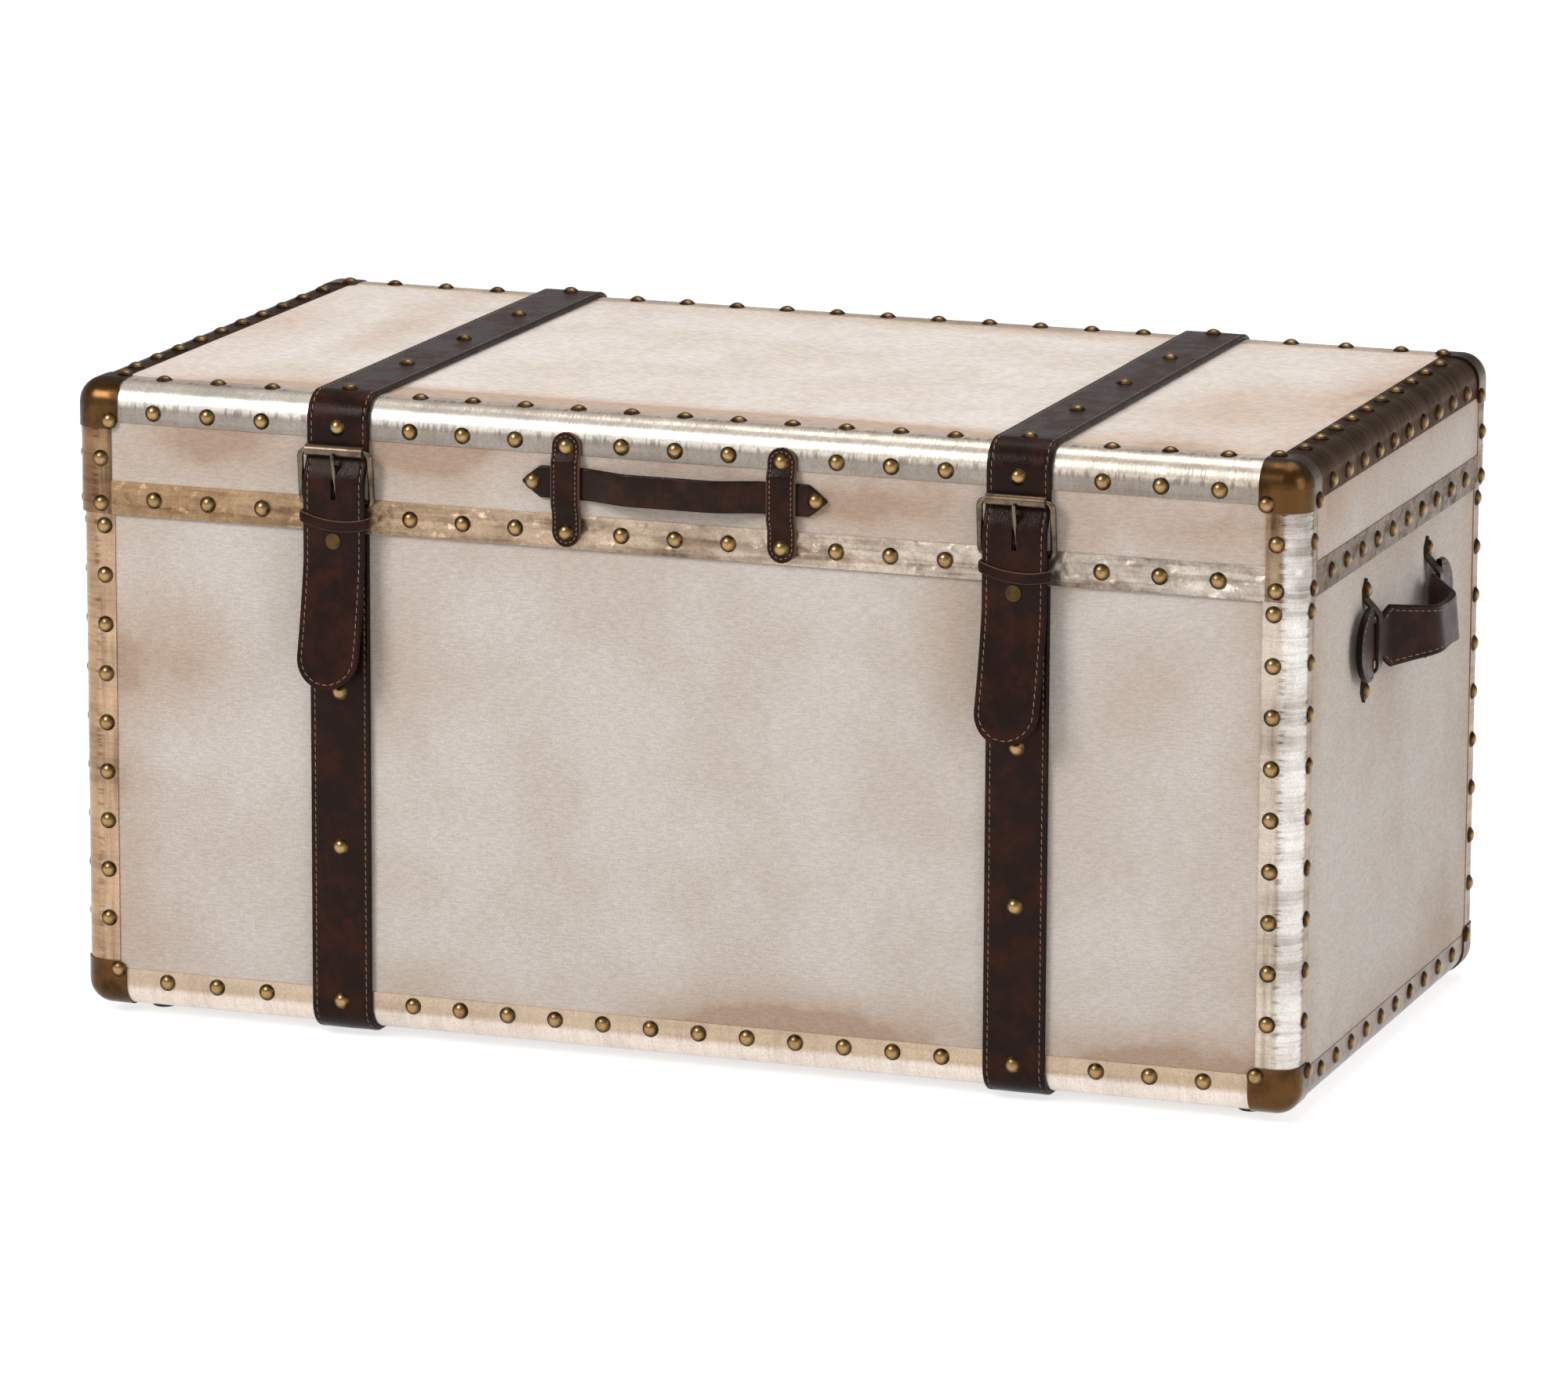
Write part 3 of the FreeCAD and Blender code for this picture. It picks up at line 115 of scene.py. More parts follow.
class Desk:
    """Adds nodes to one node tree and joins them."""

    def __init__(self, tree: bpy.types.NodeTree) -> None:
        """Empties the tree and keeps it."""
        self.tree = tree
        tree.nodes.clear()

    def feed(self, socket: Socket, value: object) -> None:
        """Links a socket to another, or gives it a plain value.

        Args:
            socket: The input to set.
            value: An output socket or a plain value.
        """
        if isinstance(value, Socket):
            self.tree.links.new(value, socket)
        else:
            socket.default_value = value

    def add(self, kind: str, inputs: dict | None = None, **settings: object) -> bpy.types.Node:
        """Adds a node.

        Args:
            kind: The node's type.
            inputs: Values or sockets for its inputs, by name or place.
            **settings: Its own settings.

        Returns:
            The new node.
        """
        node = self.tree.nodes.new(kind)
        for name, value in settings.items():
            setattr(node, name, value)
        for name, value in (inputs or {}).items():
            self.feed(node.inputs[name], value)
        return node

    def math(self, operation: str, *values: object, clamp: bool = False) -> Socket:
        """Works out a number, kept from 0 to 1 where it is clamped."""
        inputs = dict(enumerate(values))
        return self.add("ShaderNodeMath", inputs, operation=operation, use_clamp=clamp).outputs[0]

    def times(self, first: object, second: object) -> Socket:
        """Returns the product of two numbers."""
        return self.math("MULTIPLY", first, second)

    def plus(self, first: object, second: object) -> Socket:
        """Returns the sum of two numbers."""
        return self.math("ADD", first, second)

    def scaled(self, value: object, factor: object, rest: object, clamp: bool = False) -> Socket:
        """Returns a number times a factor, plus the rest."""
        return self.math("MULTIPLY_ADD", value, factor, rest, clamp=clamp)

    def vector(self, operation: str, *values: object) -> Socket:
        """Works out a vector, or a number where the operation gives one."""
        node = self.add("ShaderNodeVectorMath", dict(enumerate(values)), operation=operation)
        return node.outputs[1 if operation in ("LENGTH", "DOT_PRODUCT") else 0]

    def blend(self, factor: object, first: object, second: object, mode: str = "MIX") -> Socket:
        """Mixes as much of a second colour into a first as the factor says."""
        inputs = {0: factor, 6: first, 7: second}
        return self.add("ShaderNodeMix", inputs, data_type="RGBA", blend_type=mode).outputs[2]

    def span(self, value: object, low: float, high: float, start: float = 0.0, end: float = 1.0) -> Socket:
        """Turns values from low to high smoothly into values from start to end."""
        inputs = {"Value": value, "From Min": low, "From Max": high, "To Min": start, "To Max": end}
        return self.add("ShaderNodeMapRange", inputs, interpolation_type="SMOOTHSTEP").outputs[0]

    def noise(self, place: object, scale: float, detail: float = 3.0, rough: float = 0.55) -> Socket:
        """Adds noise about 0.5, with its scale in features per metre and its detail in octaves."""
        inputs = {"Vector": place, "Scale": scale, "Detail": detail, "Roughness": rough}
        return self.add("ShaderNodeTexNoise", inputs).outputs[0]

    def place(self) -> Socket:
        """Returns the place on the object, in metres."""
        return self.add("ShaderNodeTexCoord").outputs["Object"]

    def stretched(self, place: object, x: float, y: float, z: float) -> Socket:
        """Returns a place scaled differently along each axis."""
        return self.vector("MULTIPLY", place, (x, y, z))

    def split(self, place: object) -> Sequence[Socket]:
        """Returns the three parts of a place."""
        return self.add("ShaderNodeSeparateXYZ", {"Vector": place}).outputs[:3]

    def grey(self, level: object) -> Socket:
        """Returns the grey of a level."""
        return self.add("ShaderNodeCombineColor", {"Red": level, "Green": level, "Blue": level}).outputs[0]

    def attribute(self, name: str) -> Socket:
        """Returns a number stored on the mesh."""
        return self.add("ShaderNodeAttribute", attribute_name=name).outputs["Fac"]

    def bump(self, height: object, strength: float, distance: float) -> Socket:
        """Turns a height into a normal, where distance is the depth of a height of 1, in metres."""
        inputs = {"Height": height, "Strength": strength, "Distance": distance}
        return self.add("ShaderNodeBump", inputs).outputs[0]

    def effect(self, effect: Effect, **inputs: object) -> Sockets:
        """Places a shared effect, its inputs' names in small letters, and returns its outputs."""
        named = {name.capitalize(): value for name, value in inputs.items()}
        return self.add("ShaderNodeGroup", named, node_tree=effect.tree()).outputs


def weave(desk: Desk, given: Sockets) -> dict[str, Socket]:
    """Makes twill cloth: slanting ribs, uneven threads and slubs, the same way round on every face.

    Args:
        desk: The effect's node tree.
        given: Its inputs.

    Returns:
        Its outputs.
    """
    place = given["Place"]
    across = desk.vector("DOT_PRODUCT", place, (0.62, 0.62, -0.78))
    along = desk.vector("DOT_PRODUCT", place, (0.78, 0.78, 0.62))
    turn = desk.math("DIVIDE", math.tau, given["Pitch"])
    drift = desk.times(desk.noise(place, 60.0, 2.0, 0.5), 9.0)
    ribs = desk.math("SINE", desk.scaled(across, turn, drift))
    stitch = desk.math("SINE", desk.scaled(along, desk.times(turn, 0.62), desk.times(drift, 1.7)))
    level = desk.noise(desk.stretched(place, 0.2, 0.2, 1.0), 800.0, 2.0, 0.6)
    grain = desk.noise(place, 700.0, 2.0, 0.6)
    threads = desk.plus(desk.times(level, 0.9), desk.times(grain, 0.5))
    threads = desk.scaled(ribs, 0.08, threads)
    threads = desk.scaled(desk.times(stitch, ribs), 0.08, threads)
    height = desk.scaled(ribs, 0.16, desk.times(threads, 0.6))
    return {"Height": height, "Fleck": desk.span(threads, 0.48, 0.92)}


def edge_distance(desk: Desk, given: Sockets) -> dict[str, Socket]:
    """Measures how far a place on a box's outside is from the nearest of its edges, in metres.

    Args:
        desk: The effect's node tree.
        given: Its inputs.

    Returns:
        Its outputs.
    """
    away = desk.vector("ABSOLUTE", desk.vector("SUBTRACT", given["Place"], given["Middle"]))
    x, y, z = desk.split(desk.vector("SUBTRACT", given["Half"], away))
    farther = desk.math("MINIMUM", desk.math("MAXIMUM", x, y), z)
    return {"Distance": desk.math("MAXIMUM", desk.math("MINIMUM", x, y), farther)}


def soft_patch(desk: Desk, given: Sockets) -> dict[str, Socket]:
    """Makes one soft patch, used for tan spray and for painted shade: full at its centre, gone at its reach.

    Args:
        desk: The effect's node tree.
        given: Its inputs.

    Returns:
        Its outputs.
    """
    away = desk.vector("DIVIDE", desk.vector("SUBTRACT", given["Place"], given["Centre"]), given["Reach"])
    fade = desk.span(desk.vector("LENGTH", away), 1.0, 0.0)
    return {"Mask": desk.times(fade, given["Weight"])}


def crumpled_sheet(desk: Desk, given: Sockets) -> dict[str, Socket]:
    """Makes thin sheet pressed over an edge: fine creases across its run, dents and streaks.

    Args:
        desk: The effect's node tree.
        given: Its inputs.

    Returns:
        Its outputs.
    """
    place, run = given["Place"], given["Run"]
    across = desk.vector("MULTIPLY", place, run)
    fine = desk.noise(across, 560.0, 3.0, 0.6)
    broad = desk.noise(across, 130.0, 2.0, 0.5)
    half_run = desk.vector("MULTIPLY_ADD", run, (0.6, 0.6, 0.6), (0.4, 0.4, 0.4))
    ticks = desk.noise(desk.vector("ADD", across, desk.stretched(place, 0.12, 0.12, 0.12)), 330.0, 2.0, 0.5)
    return {
        "Height": desk.plus(desk.times(fine, 0.22), desk.times(broad, 0.3)),
        "Dent": desk.noise(desk.vector("MULTIPLY", place, half_run), 52.0, 2.0, 0.45),
        "Streak": desk.span(desk.plus(fine, broad), 0.86, 1.24),
        "Cloud": desk.span(desk.noise(place, 26.0, 3.0, 0.55), 0.36, 0.66),
        "Tick": desk.span(ticks, 0.52, 0.62),
    }


def aged_metal(desk: Desk, given: Sockets) -> dict[str, Socket]:
    """Makes aged metal: dark clouds and fine pits.

    Args:
        desk: The effect's node tree.
        given: Its inputs.

    Returns:
        Its outputs.
    """
    size = given["Size"]
    sides = desk.add("ShaderNodeCombineXYZ", {"X": size, "Y": size, "Z": size}).outputs[0]
    place = desk.vector("DIVIDE", given["Place"], sides)
    dark = desk.span(desk.noise(place, 1.0, 4.0, 0.6), 0.42, 0.68)
    return {"Dark": dark, "Height": desk.noise(place, 9.0, 3.0, 0.6)}


def waxed_hide(desk: Desk, given: Sockets) -> dict[str, Socket]:
    """Makes waxed leather: fine pebbling, pores and a mottled dye.

    Args:
        desk: The effect's node tree.
        given: Its inputs.

    Returns:
        Its outputs.
    """
    place = given["Place"]
    pores = desk.add("ShaderNodeTexVoronoi", {"Vector": place, "Scale": 900.0}, feature="SMOOTH_F1")
    folds = desk.noise(place, 260.0, 4.0, 0.6)
    return {
        "Height": desk.scaled(pores.outputs["Distance"], 0.55, desk.times(folds, 0.5)),
        "Mottle": desk.span(desk.noise(place, 62.0, 4.0, 0.62), 0.4, 0.68),
        "Crease": desk.span(desk.noise(desk.stretched(place, 1.0, 1.0, 2.2), 120.0, 3.0, 0.6), 0.56, 0.7),
    }


@dataclass(frozen=True)
class Recipe:
    """How a shared effect is made: its vector and number inputs, and what works out its outputs."""

    work: Callable[[Desk, Sockets], dict[str, Socket]]
    vectors: tuple[str, ...] = ("Place",)
    numbers: tuple[str, ...] = ()


class Effect(Enum):
    """Effects that more than one finish, or one finish more than once, can place."""

    WEAVE = Recipe(weave, numbers=("Pitch",))
    EDGE = Recipe(edge_distance, vectors=("Place", "Middle", "Half"))
    PATCH = Recipe(soft_patch, vectors=("Place", "Centre", "Reach"), numbers=("Weight",))
    CRUMPLE = Recipe(crumpled_sheet, vectors=("Place", "Run"))
    PATINA = Recipe(aged_metal, numbers=("Size",))
    HIDE = Recipe(waxed_hide)

    def tree(self) -> bpy.types.NodeTree:
        """Makes the effect's node group, unless it was made before.

        Returns:
            The node group.
        """
        recipe, name = self.value, self.name.lower()
        if name in bpy.data.node_groups:
            return bpy.data.node_groups[name]
        tree = bpy.data.node_groups.new(name, "ShaderNodeTree")
        for kind, labels in (("NodeSocketVector", recipe.vectors), ("NodeSocketFloat", recipe.numbers)):
            for label in labels:
                tree.interface.new_socket(name=label, in_out="INPUT", socket_type=kind)
        desk = Desk(tree)
        made = recipe.work(desk, desk.add("NodeGroupInput").outputs)
        for label in made:
            tree.interface.new_socket(name=label, in_out="OUTPUT", socket_type="NodeSocketFloat")
        desk.add("NodeGroupOutput", made)
        return tree


# Finishes


@dataclass(frozen=True)
class Finish:
    """A named material, made from nodes the first time that a piece asks for it."""

    name: str

    def material(self) -> bpy.types.Material:
        """Makes the finish's material, unless it was made before.

        Returns:
            The material.
        """
        made = bpy.data.materials.get(self.name)
        if made is not None:
            return made
        made = bpy.data.materials.new(self.name)
        made.use_nodes = True
        desk = Desk(made.node_tree)
        shader = desk.add("ShaderNodeBsdfPrincipled")
        desk.add("ShaderNodeOutputMaterial", {"Surface": shader.outputs[0]})
        for socket, value in self.sockets(desk).items():
            desk.feed(shader.inputs[socket], value)
        return made

    def sockets(self, desk: Desk) -> dict[str, object]:
        """Works out what feeds the shader, by the names of its inputs."""
        raise NotImplementedError


@dataclass(frozen=True)
class Canvas(Finish):
    """Off-white twill, with tan spray along its edges and in patches.

    The patches beside the left strap and across the lid's front are both tan spray and painted
    shade. A row of patches gives its centre and its reach along x, y and z, in millimetres from
    the middle of the floor, and its weight. The box's half size, the spray's start and end from
    an edge and the twill's pitch are in metres.
    """

    half: Triple = (0.398, 0.206, 0.2)
    spray: Point = (0.062, 0.014)
    pitch: float = 0.00115
    cloth: Colour = tone(225, 214, 205)
    shade: Colour = tone(216, 202, 189)
    tan: Colour = tone(203, 178, 158)
    brown: Colour = tone(164, 128, 102)
    patches: tuple[tuple[float, ...], ...] = (
        (-335, -200, 238, 72, 60, 72, 0.8),
        (-375, -200, 130, 42, 60, 130, 0.5),
        (-350, -200, 55, 70, 60, 55, 0.4),
        # Beside the left strap: tan spray and painted shade.
        (-178, -200, 255, 55, 60, 85, 0.42),
        (-110, -200, 318, 170, 50, 26, 0.3),
        (95, -200, 30, 165, 60, 46, 0.9),
        (186, -200, 285, 42, 60, 120, 0.62),
        (300, -200, 262, 62, 60, 60, 0.42),
        (325, -200, 32, 110, 60, 40, 0.75),
        # The next six, across the lid's front: tan spray and painted shade.
        (-160, -205, 372, 90, 50, 40, 0.5),
        (0, -205, 360, 440, 50, 44, 0.22),
        (-310, -205, 366, 100, 50, 38, 0.62),
        (115, -205, 362, 110, 50, 34, 0.7),
        (330, -205, 362, 80, 50, 34, 0.65),
        (262, -205, 350, 26, 50, 46, 0.5),
        (-150, -172, 407, 210, 42, 60, 0.72),
        (80, -176, 407, 210, 34, 60, 0.6),
        (300, -160, 407, 120, 52, 60, 0.55),
        (305, -50, 407, 80, 150, 60, 0.7),
        (0, -180, 407, 400, 48, 60, 0.85),
        (-280, -165, 407, 130, 64, 60, 0.45),
        (-282, 40, 407, 34, 190, 60, 0.55),
        (-345, 0, 407, 42, 190, 60, 0.3),
        (358, 40, 407, 48, 170, 60, 0.55),
        (120, 182, 407, 280, 32, 60, 0.35),
        (395, -150, 362, 60, 60, 38, 0.5),
        (395, -170, 285, 60, 44, 70, 0.4),
        (395, -10, 222, 60, 60, 60, 0.4),
        (395, 120, 60, 60, 90, 52, 0.45),
        (395, 0, 316, 60, 180, 22, 0.4),
        (-395, 60, 70, 60, 100, 60, 0.5),
        (-395, -80, 240, 60, 70, 60, 0.4),
        (60, 210, 60, 220, 60, 60, 0.5),
        (-220, 210, 260, 90, 60, 90, 0.4),
    )

    def sockets(self, desk: Desk) -> dict[str, object]:
        """Feeds the shader with woven, sprayed cloth.

        Args:
            desk: The material's node tree.

        Returns:
            Values and sockets by the shader's input names.
        """
        place = desk.place()
        distance = desk.effect(Effect.EDGE, place=place, middle=MIDDLE, half=self.half)["Distance"]
        ragged = desk.span(desk.noise(place, 9.0, 3.0, 0.6), 0.36, 0.62, 0.12, 0.62)
        spray_and_shade = desk.times(desk.span(distance, *self.spray), ragged)
        # The patches add tan spray; those beside the left strap and across the lid's front add painted shade
        # as well.
        for x, y, z, *reach, weight in self.patches:
            spot = {"centre": Vector((x, y, z)) * MM + Y_AXIS * MIDDLE[1], "reach": Vector(reach) * MM}
            patch = desk.effect(Effect.PATCH, place=place, weight=weight, **spot)
            spray_and_shade = desk.plus(spray_and_shade, patch["Mask"])
        cloudy = desk.scaled(desk.noise(place, 26.0, 4.0, 0.65), 0.9, 0.68)
        spray_and_shade = desk.math("MULTIPLY", spray_and_shade, cloudy, clamp=True)
        twill = desk.effect(Effect.WEAVE, place=place, pitch=self.pitch)
        cloth = desk.blend(desk.span(desk.noise(place, 14.0, 3.0), 0.35, 0.7), self.cloth, self.shade)
        tinted = desk.blend(spray_and_shade, cloth, self.tan)
        tinted = desk.blend(desk.span(spray_and_shade, 0.72, 1.25, 0.0, 0.65), tinted, self.brown)
        flecks = desk.grey(desk.span(twill["Fleck"], 0.0, 1.0, 0.86, 1.04))
        return {
            "Base Color": desk.blend(1.0, tinted, flecks, "MULTIPLY"),
            "Roughness": 0.9,
            "Sheen Weight": 0.12,
            "Sheen Roughness": 0.6,
            "Specular IOR Level": 0.25,
            "Normal": desk.bump(twill["Height"], 0.55, 0.0006),
        }


@dataclass(frozen=True)
class Lining(Finish):
    """Plain beige lining cloth."""

    pitch: float = 0.0011
    light: Colour = tone(196, 183, 158)
    dark: Colour = tone(172, 158, 133)

    def sockets(self, desk: Desk) -> dict[str, object]:
        """Feeds the shader with plain woven cloth.

        Args:
            desk: The material's node tree.

        Returns:
            Values and sockets by the shader's input names.
        """
        twill = desk.effect(Effect.WEAVE, place=desk.place(), pitch=self.pitch)
        return {
            "Base Color": desk.blend(desk.span(twill["Fleck"], 0.0, 1.0, 0.0, 0.6), self.light, self.dark),
            "Roughness": 0.95,
            "Specular IOR Level": 0.2,
            "Normal": desk.bump(twill["Height"], 0.4, 0.0004),
        }


class Run(Enum):
    """The way that a metal edging runs, as weights that squeeze its creases across it."""

    ALONG_X = (1.0, 0.05, 0.05)
    ALONG_Y = (0.05, 1.0, 0.05)
    ALONG_Z = (0.05, 0.05, 1.0)
    ROUND = (0.8, 0.8, 1.0)


@dataclass(frozen=True)
class Edging(Finish):
    """Thin metallic sheet: flat flanges and roundings, creased across its run.

    Left and right are the flanges' colours at the trunk's two ends, ends is that of the faces
    beyond, and above that of the face on top; the roundings have colours of their own, mostly
    brighter. These differences are painted reflection and painted highlight. Tarnish gathers in
    clouds, streaks and drawn lines, and dark ticks lie where the sheet turns, at a distance of
    turn from the edge.
    """

    run: Run = Run.ALONG_X
    left: Colour = tone(160, 151, 142)
    right: Colour = tone(162, 152, 141)
    round_left: Colour = tone(248, 242, 234)
    round_right: Colour = tone(240, 226, 208)
    ends: Colour = tone(160, 146, 134)
    above: Colour = tone(250, 233, 214)
    tarnish: Colour = tone(84, 66, 52)
    glance: Colour = WHITE
    age: float = 0.25
    crumple: float = 0.35
    dent: float = 1.2
    spread: float = 0.4
    turn: float = 0.0135
    turn_blur: float = 0.0022
    tick_reach: float = 0.0042
    ticks: float = 0.42
    drawn: Triple = (0.06, 0.06, 1.0)
    waver: float = 0.0015
    top: Point = (0.4, 0.4095)
    beyond: Point = (0.3935, 0.3975)
    half: Triple = (0.399, 0.207, 0.2)

    def sockets(self, desk: Desk) -> dict[str, object]:
        """Feeds the shader with creased, tarnished sheet.

        Args:
            desk: The material's node tree.

        Returns:
            Values and sockets by the shader's input names.
        """
        place = desk.place()
        x, _, z = desk.split(place)
        sheet = desk.effect(Effect.CRUMPLE, place=place, run=self.run.value)
        distance = desk.effect(Effect.EDGE, place=place, middle=MIDDLE, half=self.half)["Distance"]
        wavy = desk.scaled(sheet["Height"], self.waver, distance)
        rounding = desk.span(wavy, self.turn + self.turn_blur, self.turn - self.turn_blur)
        fold = desk.span(desk.math("ABSOLUTE", desk.math("SUBTRACT", wavy, self.turn)), self.tick_reach, 0.0)
        sideways = desk.span(x, -self.spread, self.spread)
        # Painted reflection: the flanges change colour from one end of the trunk to the other, and again on
        # the faces beyond.
        flange = desk.blend(sideways, self.left, self.right)
        flange = desk.blend(desk.span(desk.math("ABSOLUTE", x), *self.beyond), flange, self.ends)
        # Painted highlight and reflection: the roundings take colours of their own, also changing from end to
        # end.
        base = desk.blend(rounding, flange, desk.blend(sideways, self.round_left, self.round_right))
        # Painted reflection: the face on top takes a colour of its own.
        base = desk.blend(desk.span(z, *self.top), base, self.above)
        grain = desk.noise(place, 820.0, 2.0, 0.6)
        # The roundings get 0.06 more brightness here: painted highlight.
        fleck_and_highlight = desk.plus(desk.span(grain, 0.34, 0.64, 0.86, 1.04), desk.times(rounding, 0.06))
        base = desk.blend(1.0, base, desk.grey(fleck_and_highlight), "MULTIPLY")
        cloud = desk.times(sheet["Cloud"], self.age)
        drawn = desk.noise(desk.stretched(place, *self.drawn), 150.0, 3.0, 0.6)
        drawn = desk.times(desk.span(drawn, 0.42, 0.68), desk.span(rounding, 0.0, 1.0, 1.1, 0.15))
        streak = desk.times(sheet["Streak"], desk.span(rounding, 0.0, 1.0, 0.35, 0.75))
        streak = desk.times(desk.plus(drawn, streak), self.age)
        aged = desk.scaled(streak, 0.8, desk.times(cloud, 0.7))
        aged = desk.scaled(desk.times(fold, sheet["Tick"]), self.ticks, aged, clamp=True)
        relief = desk.scaled(grain, 0.1, sheet["Height"])
        relief = desk.scaled(sheet["Dent"], self.dent, relief)
        return {
            "Base Color": desk.blend(aged, base, self.tarnish),
            "Metallic": 0.9,
            "Specular Tint": self.glance,
            "Roughness": desk.scaled(rounding, -0.15, desk.scaled(sheet["Streak"], 0.1, 0.42)),
            "Normal": desk.bump(relief, self.crumple, 0.0014),
        }


@dataclass(frozen=True)
class Aged(Finish):
    """Old brass or bronze, darker in its hollows, with painted shade off the crowns of domed heads where
    asked.
    """

    bright: Colour
    dark: Colour
    size: float
    darkness: float
    roughness: float
    # Whether to paint shade off the crowns that the mesh's crown layer marks.
    painted_crown_shade: bool = False

    def sockets(self, desk: Desk) -> dict[str, object]:
        """Feeds the shader with aged metal.

        Args:
            desk: The material's node tree.

        Returns:
            Values and sockets by the shader's input names.
        """
        patina = desk.effect(Effect.PATINA, place=desk.place(), size=self.size)
        dark = desk.times(patina["Dark"], self.darkness)
        # Painted shade: domed heads darken away from their crowns, towards the rim.
        if self.painted_crown_shade:
            painted_rim_shade = desk.span(desk.attribute("crown"), 0.72, 0.15, 0.0, 0.85)
            dark = desk.math("ADD", dark, painted_rim_shade, clamp=True)
        return {
            "Base Color": desk.blend(dark, self.bright, self.dark),
            "Metallic": 1.0,
            "Roughness": desk.scaled(dark, 0.22, self.roughness),
            "Normal": desk.bump(patina["Height"], 0.25, 0.0002),
        }


@dataclass(frozen=True)
class Leather(Finish):
    """Dark waxed leather with a cut edge of its own colour."""

    hide: Colour = tone(33, 16, 10)
    red: Colour = tone(62, 30, 18)
    rim: Colour = tone(28, 19, 15)
    crease: Colour = tone(26, 17, 13)

    def sockets(self, desk: Desk) -> dict[str, object]:
        """Feeds the shader with mottled leather.

        Args:
            desk: The material's node tree.

        Returns:
            Values and sockets by the shader's input names.
        """
        hide = desk.effect(Effect.HIDE, place=desk.place())
        colour = desk.blend(desk.times(hide["Mottle"], 0.62), self.hide, self.red)
        colour = desk.blend(desk.times(hide["Crease"], 0.35), colour, self.crease)
        return {
            "Base Color": desk.blend(desk.span(desk.attribute("rim"), 0.55, 0.95), colour, self.rim),
            "Roughness": desk.scaled(hide["Mottle"], 0.12, 0.27),
            "IOR": 1.2,
            "Normal": desk.bump(hide["Height"], 0.4, 0.0005),
        }


@dataclass(frozen=True)
class Grained(Finish):
    """Two shades in a fine grain: thread, plywood or moulded plastic.

    Shades are the grain's levels at which the light and the dark shade are full, where there are
    any. Gloss is how far the grain changes the roughness, and the roughness without it. Relief is
    the bump's strength and depth.
    """

    light: Colour
    dark: Colour
    fineness: float
    detail: float = 2.0
    rough: float = 0.55
    stretch: Triple = (1.0, 1.0, 1.0)
    shades: Point | None = None
    gloss: Point = (0.0, 0.8)
    sheen: float = 0.0
    relief: Point = (0.3, 0.0002)

    def sockets(self, desk: Desk) -> dict[str, object]:
        """Feeds the shader with grain.

        Args:
            desk: The material's node tree.

        Returns:
            Values and sockets by the shader's input names.
        """
        place = desk.stretched(desk.place(), *self.stretch)
        grain = desk.noise(place, self.fineness, self.detail, self.rough)
        shade = desk.span(grain, *self.shades) if self.shades else grain
        change, plain = self.gloss
        return {
            "Base Color": desk.blend(shade, self.light, self.dark),
            "Roughness": desk.scaled(grain, change, plain) if change else plain,
            "Sheen Weight": self.sheen,
            "Normal": desk.bump(grain, *self.relief),
        }


CANVAS = Canvas("finish_canvas")
LINING = Lining("finish_lining")
STRAP_LEATHER = Leather("finish_strap_leather")
HANDLE_LEATHER = Leather(
    "finish_handle_leather", hide=tone(38, 23, 18), red=tone(70, 40, 29), rim=tone(22, 15, 12)
)
TAN_EDGED_LEATHER = Leather("finish_tan_edged_leather", rim=tone(104, 76, 56))
THREAD = Grained(
    "finish_thread",
    tone(168, 138, 110),
    tone(122, 97, 74),
    1400.0,
    shades=(0.4, 0.6),
    sheen=0.2,
    relief=(0.5, 0.0002),
)
PLYWOOD = Grained(
    "finish_plywood",
    tone(206, 178, 138),
    tone(176, 140, 98),
    160.0,
    detail=4.0,
    rough=0.6,
    stretch=(0.06, 1.0, 1.0),
    shades=(0.35, 0.68),
    gloss=(0.0, 0.7),
    relief=(0.3, 0.0004),
)
PLASTIC = Grained("finish_foot_plastic", tone(24, 22, 21), tone(38, 34, 31), 1100.0, gloss=(0.2, 0.42))
# The nails get painted shade off their domes' crowns.
NAIL_BRASS = Aged("finish_nail_brass", tone(167, 135, 90), tone(48, 34, 22), 0.006, 0.3, 0.22, painted_crown_shade=True)
CAP_BRONZE = Aged("finish_cap_bronze", tone(92, 65, 37), tone(40, 28, 19), 0.03, 0.8, 0.25)
BUCKLE_BRONZE = Aged("finish_buckle_bronze", tone(112, 98, 82), tone(46, 38, 31), 0.01, 0.7, 0.3)
ROLLER_BRONZE = Aged("finish_roller_bronze", tone(112, 96, 81), tone(52, 42, 34), 0.008, 0.6, 0.3)
LOOP_BRONZE = Aged("finish_loop_bronze", tone(74, 60, 46), tone(38, 30, 24), 0.01, 0.7, 0.36)
SNAP_BRASS = Aged("finish_snap_brass", tone(86, 67, 42), tone(50, 38, 26), 0.006, 0.6, 0.36)
HINGE_METAL = Aged("finish_hinge_metal", tone(150, 132, 104), tone(78, 66, 50), 0.02, 0.6, 0.4)
# Painted reflection and highlight: each edging below takes its own colours at the trunk's ends, on its
# roundings, beyond the ends and on top.
TOP_EDGING = Edging("finish_top_edging")
